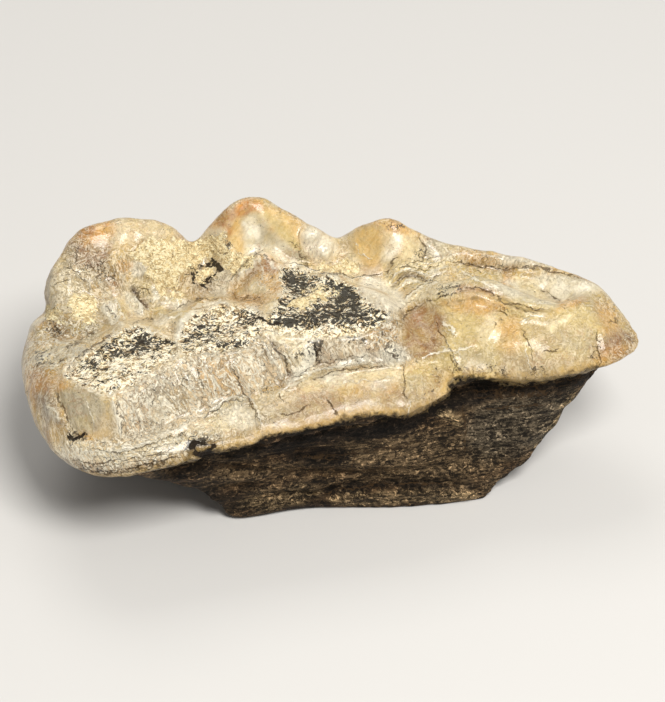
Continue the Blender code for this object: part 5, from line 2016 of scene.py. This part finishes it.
@dataclass(frozen=True)
class ToothFinish:
    """The tooth's material: each finish laid over the last where its mask says."""

    fray: Grain = Grain(2.4, 5.0, 0.66, 0.8)   # strays every edge between two finishes
    worn_fray: float = 1.7
    earth_fray: float = 1.8
    root_fray: float = 1.1
    worn_edge: Limits = (-0.04, 0.06)
    earth_edge: Limits = (-0.04, 0.05)
    root_edge: Limits = (-0.03, 0.06)
    coal_edge: Limits = (-0.05, 0.3)
    rim_edge: Limits = (-0.35, -0.1)           # the pale rim outside a worn field
    rim_grain: Grain = Grain(0.9)
    rim_levels: Limits = (0.42, 0.6)
    rim_cover: float = 0.6
    hem_edge: Limits = (-1.2, -0.2)            # the enamel just above its edge
    hem_cover: float = 0.55
    hem_tone: Tone = Tone.HONEY
    shade_middle: float = 0.05                 # the dark line of painted shadow under the enamel's edge
    shade_reach: Limits = (0.5, 0.05)
    shade_cover: float = 0.8
    pale: Tone = Tone.WHITE                    # rims, and the painted highlights on crests
    crest_highlight_cover: float = 0.7
    crest_height: float = 0.05
    wide_seam: Limits = (0.035, 0.085)
    silt_and_furrow_shade: Paint = (0.09, 0.052, 0.022, 1)      # in the thin seams: silt in cracks, painted shade in furrows
    mineral: Paint = (0.022, 0.015, 0.010, 1)  # in the wide ones: mineral in cracks, painted shade in the deepest furrows
    seam_cover: Limits = (0.25, 0.7)           # what wide seams add, and everywhere
    seam_height: float = -0.08
    earth_roughness: float = 0.95
    hem_dullness: float = 0.85
    coat: float = 0.35
    coat_roughness: float = 0.14
    refraction: float = 1.55
    gloss: Limits = (0.5, 0.12)                # where polished, and where dull

    def material(self, earth_group: bpy.types.NodeTree) -> bpy.types.Material:
        """Enamel, dentine, earth, root and dark seams on one skin, with painted shadow under the enamel's
        edge and painted highlights along crests.

        Args:
            earth_group: the earth's group.
        Returns:
            The material.
        """
        material, shader = new_material("fossil tooth", Coat_Roughness=self.coat_roughness,
                                        IOR=self.refraction)
        g = Graph(material.node_tree)
        position = g.position()
        frayed = g.centred(g.grain(position, self.fray), 1.0)
        depth = g.scaled(frayed, self.worn_fray, g.stored("worn"))
        below = g.scaled(frayed, self.root_fray, g.stored("below_enamel"))
        worn = g.step(depth, *self.worn_edge)
        earthy = g.step(g.scaled(frayed, self.earth_fray, g.stored("earth")), *self.earth_edge)
        rooted = g.step(below, *self.root_edge)
        hem = g.step(below, *self.hem_edge)
        line = WaveringLine().group()
        seam, crest = (g.use(line, Position=position, Offset=g.stored(kind + "_offset"),
                             Width=g.stored(kind + "_width"))["Mask"] for kind in ("seam", "crest"))

        # relief for the enamel's painted shade in hollows and highlights on ridges, none near the hem
        relief = g.times(g.stored("relief"), g.minus(1.0, hem))
        enamel = g.use(EnamelFinish().group(), Position=position, Girth=g.stored("girth", "Vector"),
                       Steep=g.stored("steep"), Tint=g.stored("tint", "Color"),
                       Manganese=g.stored("manganese"), Wrinkled=g.stored("wrinkled"), Relief=relief)
        coal = g.times(g.stored("coal"), g.step(depth, *self.coal_edge))
        dentine = g.use(DentineFinish().group(), Position=position, Coal=coal)
        earth = g.use(earth_group, Position=position)
        root = g.use(RootFinish().group(), Position=position, Tint=g.stored("root_tint", "Color"))

        rim = g.step(g.grain(position, self.rim_grain), *self.rim_levels)
        rim = g.times(g.step(depth, *self.rim_edge), rim)
        colour = g.mix(g.times(hem, self.hem_cover), enamel["Color"], self.hem_tone)
        colour = g.mix(g.times(rim, self.rim_cover), colour, self.pale)
        # painted highlights along the crests of the folds
        colour = g.mix(g.times(crest, self.crest_highlight_cover), colour, self.pale)
        for mask, finish in ((worn, dentine), (earthy, earth), (rooted, root)):
            colour = g.mix(mask, colour, finish["Color"])
        # painted shadow: a dark band just under the enamel's edge
        shade = g.step(g.math("ABSOLUTE", g.minus(below, self.shade_middle)), *self.shade_reach)
        colour = g.mix(g.times(shade, self.shade_cover), colour, RootFinish().dark)
        # dark seams: mineral in cracks, painted shade in furrows
        wide = g.step(g.stored("seam_width"), *self.wide_seam)
        filling = g.mix(wide, self.silt_and_furrow_shade, self.mineral)
        colour = g.mix(g.times(seam, g.scaled(wide, *self.seam_cover)), colour, filling)

        roughness, height = enamel["Roughness"], enamel["Height"]
        for mask, finish, dry in ((worn, dentine, dentine["Roughness"]),
                                  (earthy, earth, self.earth_roughness), (rooted, root, root["Roughness"])):
            roughness = g.blend(mask, roughness, dry)
            height = g.blend(mask, height, finish["Height"])
        height = g.scaled(crest, self.crest_height, g.scaled(seam, self.seam_height, height))
        dull = g.greatest(worn, earthy, rooted, seam, g.times(hem, self.hem_dullness))
        g.put(shader.inputs["Base Color"], colour)
        g.put(shader.inputs["Roughness"], roughness)
        g.put(shader.inputs["Coat Weight"], g.times(g.minus(1.0, dull), self.coat))
        g.put(shader.inputs["Specular IOR Level"], g.blend(dull, *self.gloss))
        g.put(shader.inputs["Normal"], g.bump(height, 1.0))
        return material


# ---------------------------------------------------------------- crumbs of earth

@dataclass
class Crumbs:
    """Loose crumbs scattered over the earth by Geometry Nodes."""

    density: float = 30.0            # crumbs to a square millimetre of full earth
    smallest: float = 0.03
    largest: float = 0.1
    seed: int = 7
    flattest: Triple = (0.6, 0.6, 0.4)
    fullest: Triple = (1.3, 1.0, 0.9)

    def tree(self, material: bpy.types.Material) -> bpy.types.NodeTree:
        """The node tree: points on the skin where the earth is, a crumb on each.

        Args:
            material: the crumbs' material.
        Returns:
            The tree, with its sizes as named inputs.
        """
        tree = bpy.data.node_groups.new("scattered crumbs", "GeometryNodeTree")
        tree.is_modifier = True
        for name, side, kind in (("Skin", "INPUT", "Geometry"), ("Density", "INPUT", "Float"),
                                 ("Smallest", "INPUT", "Float"), ("Largest", "INPUT", "Float"),
                                 ("Seed", "INPUT", "Int"), ("Crumbs", "OUTPUT", "Geometry")):
            tree.interface.new_socket(name, in_out=side, socket_type="NodeSocket" + kind)
        g = Graph(tree)
        given = tree.nodes.new("NodeGroupInput").outputs
        share = g.node("GeometryNodeInputNamedAttribute", {"Name": "crumb_share"},
                       data_type="FLOAT").outputs[0]
        points = g.node("GeometryNodeDistributePointsOnFaces",
                        {"Mesh": given["Skin"], "Density": g.times(share, given["Density"]),
                         "Seed": given["Seed"]})
        crumb = g.node("GeometryNodeMeshIcoSphere", {"Radius": 1.0, "Subdivisions": 1})
        turn = g.node("FunctionNodeRandomValue", {"Seed": 1, "Max": (2 * math.pi,) * 3},
                      data_type="FLOAT_VECTOR")
        size = g.node("FunctionNodeRandomValue", {"Seed": 2, 2: given["Smallest"], 3: given["Largest"]},
                      data_type="FLOAT")
        squash = g.node("FunctionNodeRandomValue", {"Seed": 3, "Min": self.flattest, "Max": self.fullest},
                        data_type="FLOAT_VECTOR")
        scale = g.node("ShaderNodeVectorMath", {0: squash.outputs[0], "Scale": size.outputs[1]},
                       operation="SCALE")
        grains = g.node("GeometryNodeInstanceOnPoints",
                        {"Points": points.outputs["Points"], "Instance": crumb.outputs["Mesh"],
                         "Rotation": turn.outputs[0], "Scale": scale.outputs[0]})
        real = g.node("GeometryNodeRealizeInstances", {"Geometry": grains.outputs[0]})
        dressed = g.node("GeometryNodeSetMaterial", {"Geometry": real.outputs[0], "Material": material})
        g.put(tree.nodes.new("NodeGroupOutput").inputs["Crumbs"], dressed.outputs[0])
        return tree

    def build(self, skin: Skin, material: bpy.types.Material) -> bpy.types.Object:
        """Scatter the crumbs and make them one plain mesh.

        Args:
            skin: the finished skin.
            material: the crumbs' material.
        Returns:
            The crumbs.
        """
        draft = new_object("crumb_draft", skin.mesh.copy())
        scatter = draft.modifiers.new("Crumbs", "NODES")
        scatter.node_group = self.tree(material)
        sizes = {"Density": self.density / MM**2, "Smallest": self.smallest * MM,
                 "Largest": self.largest * MM, "Seed": self.seed}
        for item in scatter.node_group.interface.items_tree:
            if item.in_out == "INPUT" and item.name in sizes:
                scatter[item.identifier] = sizes[item.name]
        return made_plain(draft, "earth_crumbs")


# ---------------------------------------------------------------- studio

@dataclass(frozen=True)
class SoftBox:
    """A square area light that faces the tooth."""

    name: str
    place: Triple
    size: float
    watts: float
    colour: Triple = (1.0, 0.98, 0.95)


@dataclass
class Studio:
    """Pale floor, soft lights, the sky behind them and the camera."""

    view: Viewpoint
    floor_reach: float = 1500.0
    floor_tone: Paint = (0.62, 0.61, 0.59, 1)
    floor_roughness: float = 0.9
    sky_tone: Paint = (1.0, 0.98, 0.95, 1)
    sky_strength: float = 0.3
    boxes: tuple[SoftBox, ...] = (
        SoftBox("key", (50.0, -180.0, 310.0), 130.0, 1.35),
        SoftBox("back", (-30.0, 200.0, 290.0), 160.0, 0.32),
        SoftBox("side", (260.0, -60.0, 160.0), 140.0, 0.12),
    )
    sensor: float = 36.0
    nearest: float = 5.0             # where the camera starts to see

    def build(self) -> None:
        """Make the floor, the sky, the lights and the camera."""
        self._floor()
        world = bpy.data.worlds.new("studio sky")
        world.use_nodes = True
        background = world.node_tree.nodes["Background"]
        background.inputs["Color"].default_value = self.sky_tone
        background.inputs["Strength"].default_value = self.sky_strength
        bpy.context.scene.world = world
        bpy.context.scene.view_settings.view_transform = "Standard"
        for box in self.boxes:
            self._light(box)
        self._camera()

    def _floor(self) -> None:
        """Lay the floor under the tooth."""
        mesh = bpy.data.meshes.new("floor")
        builder = bmesh.new()
        bmesh.ops.create_grid(builder, x_segments=1, y_segments=1, size=self.floor_reach * MM)
        builder.to_mesh(mesh)
        builder.free()
        material, _ = new_material("pale floor", Base_Color=self.floor_tone, Roughness=self.floor_roughness)
        mesh.materials.append(material)
        new_object("floor", mesh)

    def _light(self, box: SoftBox) -> None:
        """Hang a soft box, turned to the tooth.

        Args:
            box: the soft box.
        """
        light = bpy.data.lights.new(box.name, "AREA")
        light.size = box.size * MM
        light.energy = box.watts
        light.color = box.colour
        obj = new_object(box.name, light)
        obj.location = Vector(box.place) * MM
        towards = Vector(self.view.target) * MM - obj.location
        obj.rotation_euler = towards.to_track_quat("-Z", "Y").to_euler()

    def _camera(self) -> None:
        """Stand the camera at the viewpoint."""
        camera = bpy.data.cameras.new("camera")
        camera.sensor_width = self.sensor
        camera.lens = self.view.units * self.view.distance * self.sensor / self.view.height
        camera.clip_start = self.nearest * MM
        obj = new_object("camera", camera)
        right, up, away = self.view.axes()
        turned = Matrix(np.column_stack([right, up, -away]).tolist()).to_4x4()
        obj.matrix_world = Matrix.Translation(Vector(self.view.eye()) * MM) @ turned
        bpy.context.scene.camera = obj


# ---------------------------------------------------------------- the whole tooth


def main() -> None:
    """Shape and dress the tooth, scatter its crumbs, build the studio and report each piece."""
    logging.basicConfig(level=logging.INFO, format="%(message)s")
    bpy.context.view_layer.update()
    view = Viewpoint()
    skin = Skin(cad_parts["tooth"], view)
    LOG.info("skin: %d points", len(skin.points))

    roots, crown, fields, earth = Roots(), Crown(), WornFields(), Earth()
    crown.build(skin, roots.enamel_share(skin))
    fields.build(skin)
    earth.build(skin)
    roots.build(skin)
    for part in (crown, fields, earth, roots, Lines()):
        part.dress(skin)
        LOG.info("dressed: %s", type(part).__name__)

    earth_group = EarthFinish().group()
    skin.mesh.materials.clear()
    skin.mesh.materials.append(ToothFinish().material(earth_group))
    skin.mesh.shade_smooth()
    crumbs = Crumbs().build(skin, CrumbFinish().material(earth_group))
    LOG.info("crumbs: %d triangles", len(crumbs.data.polygons))
    for piece in (skin.obj, crumbs):
        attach(piece, "root")
    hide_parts("tooth")
    Studio(view).build()


if __name__ == "__main__":
    main()
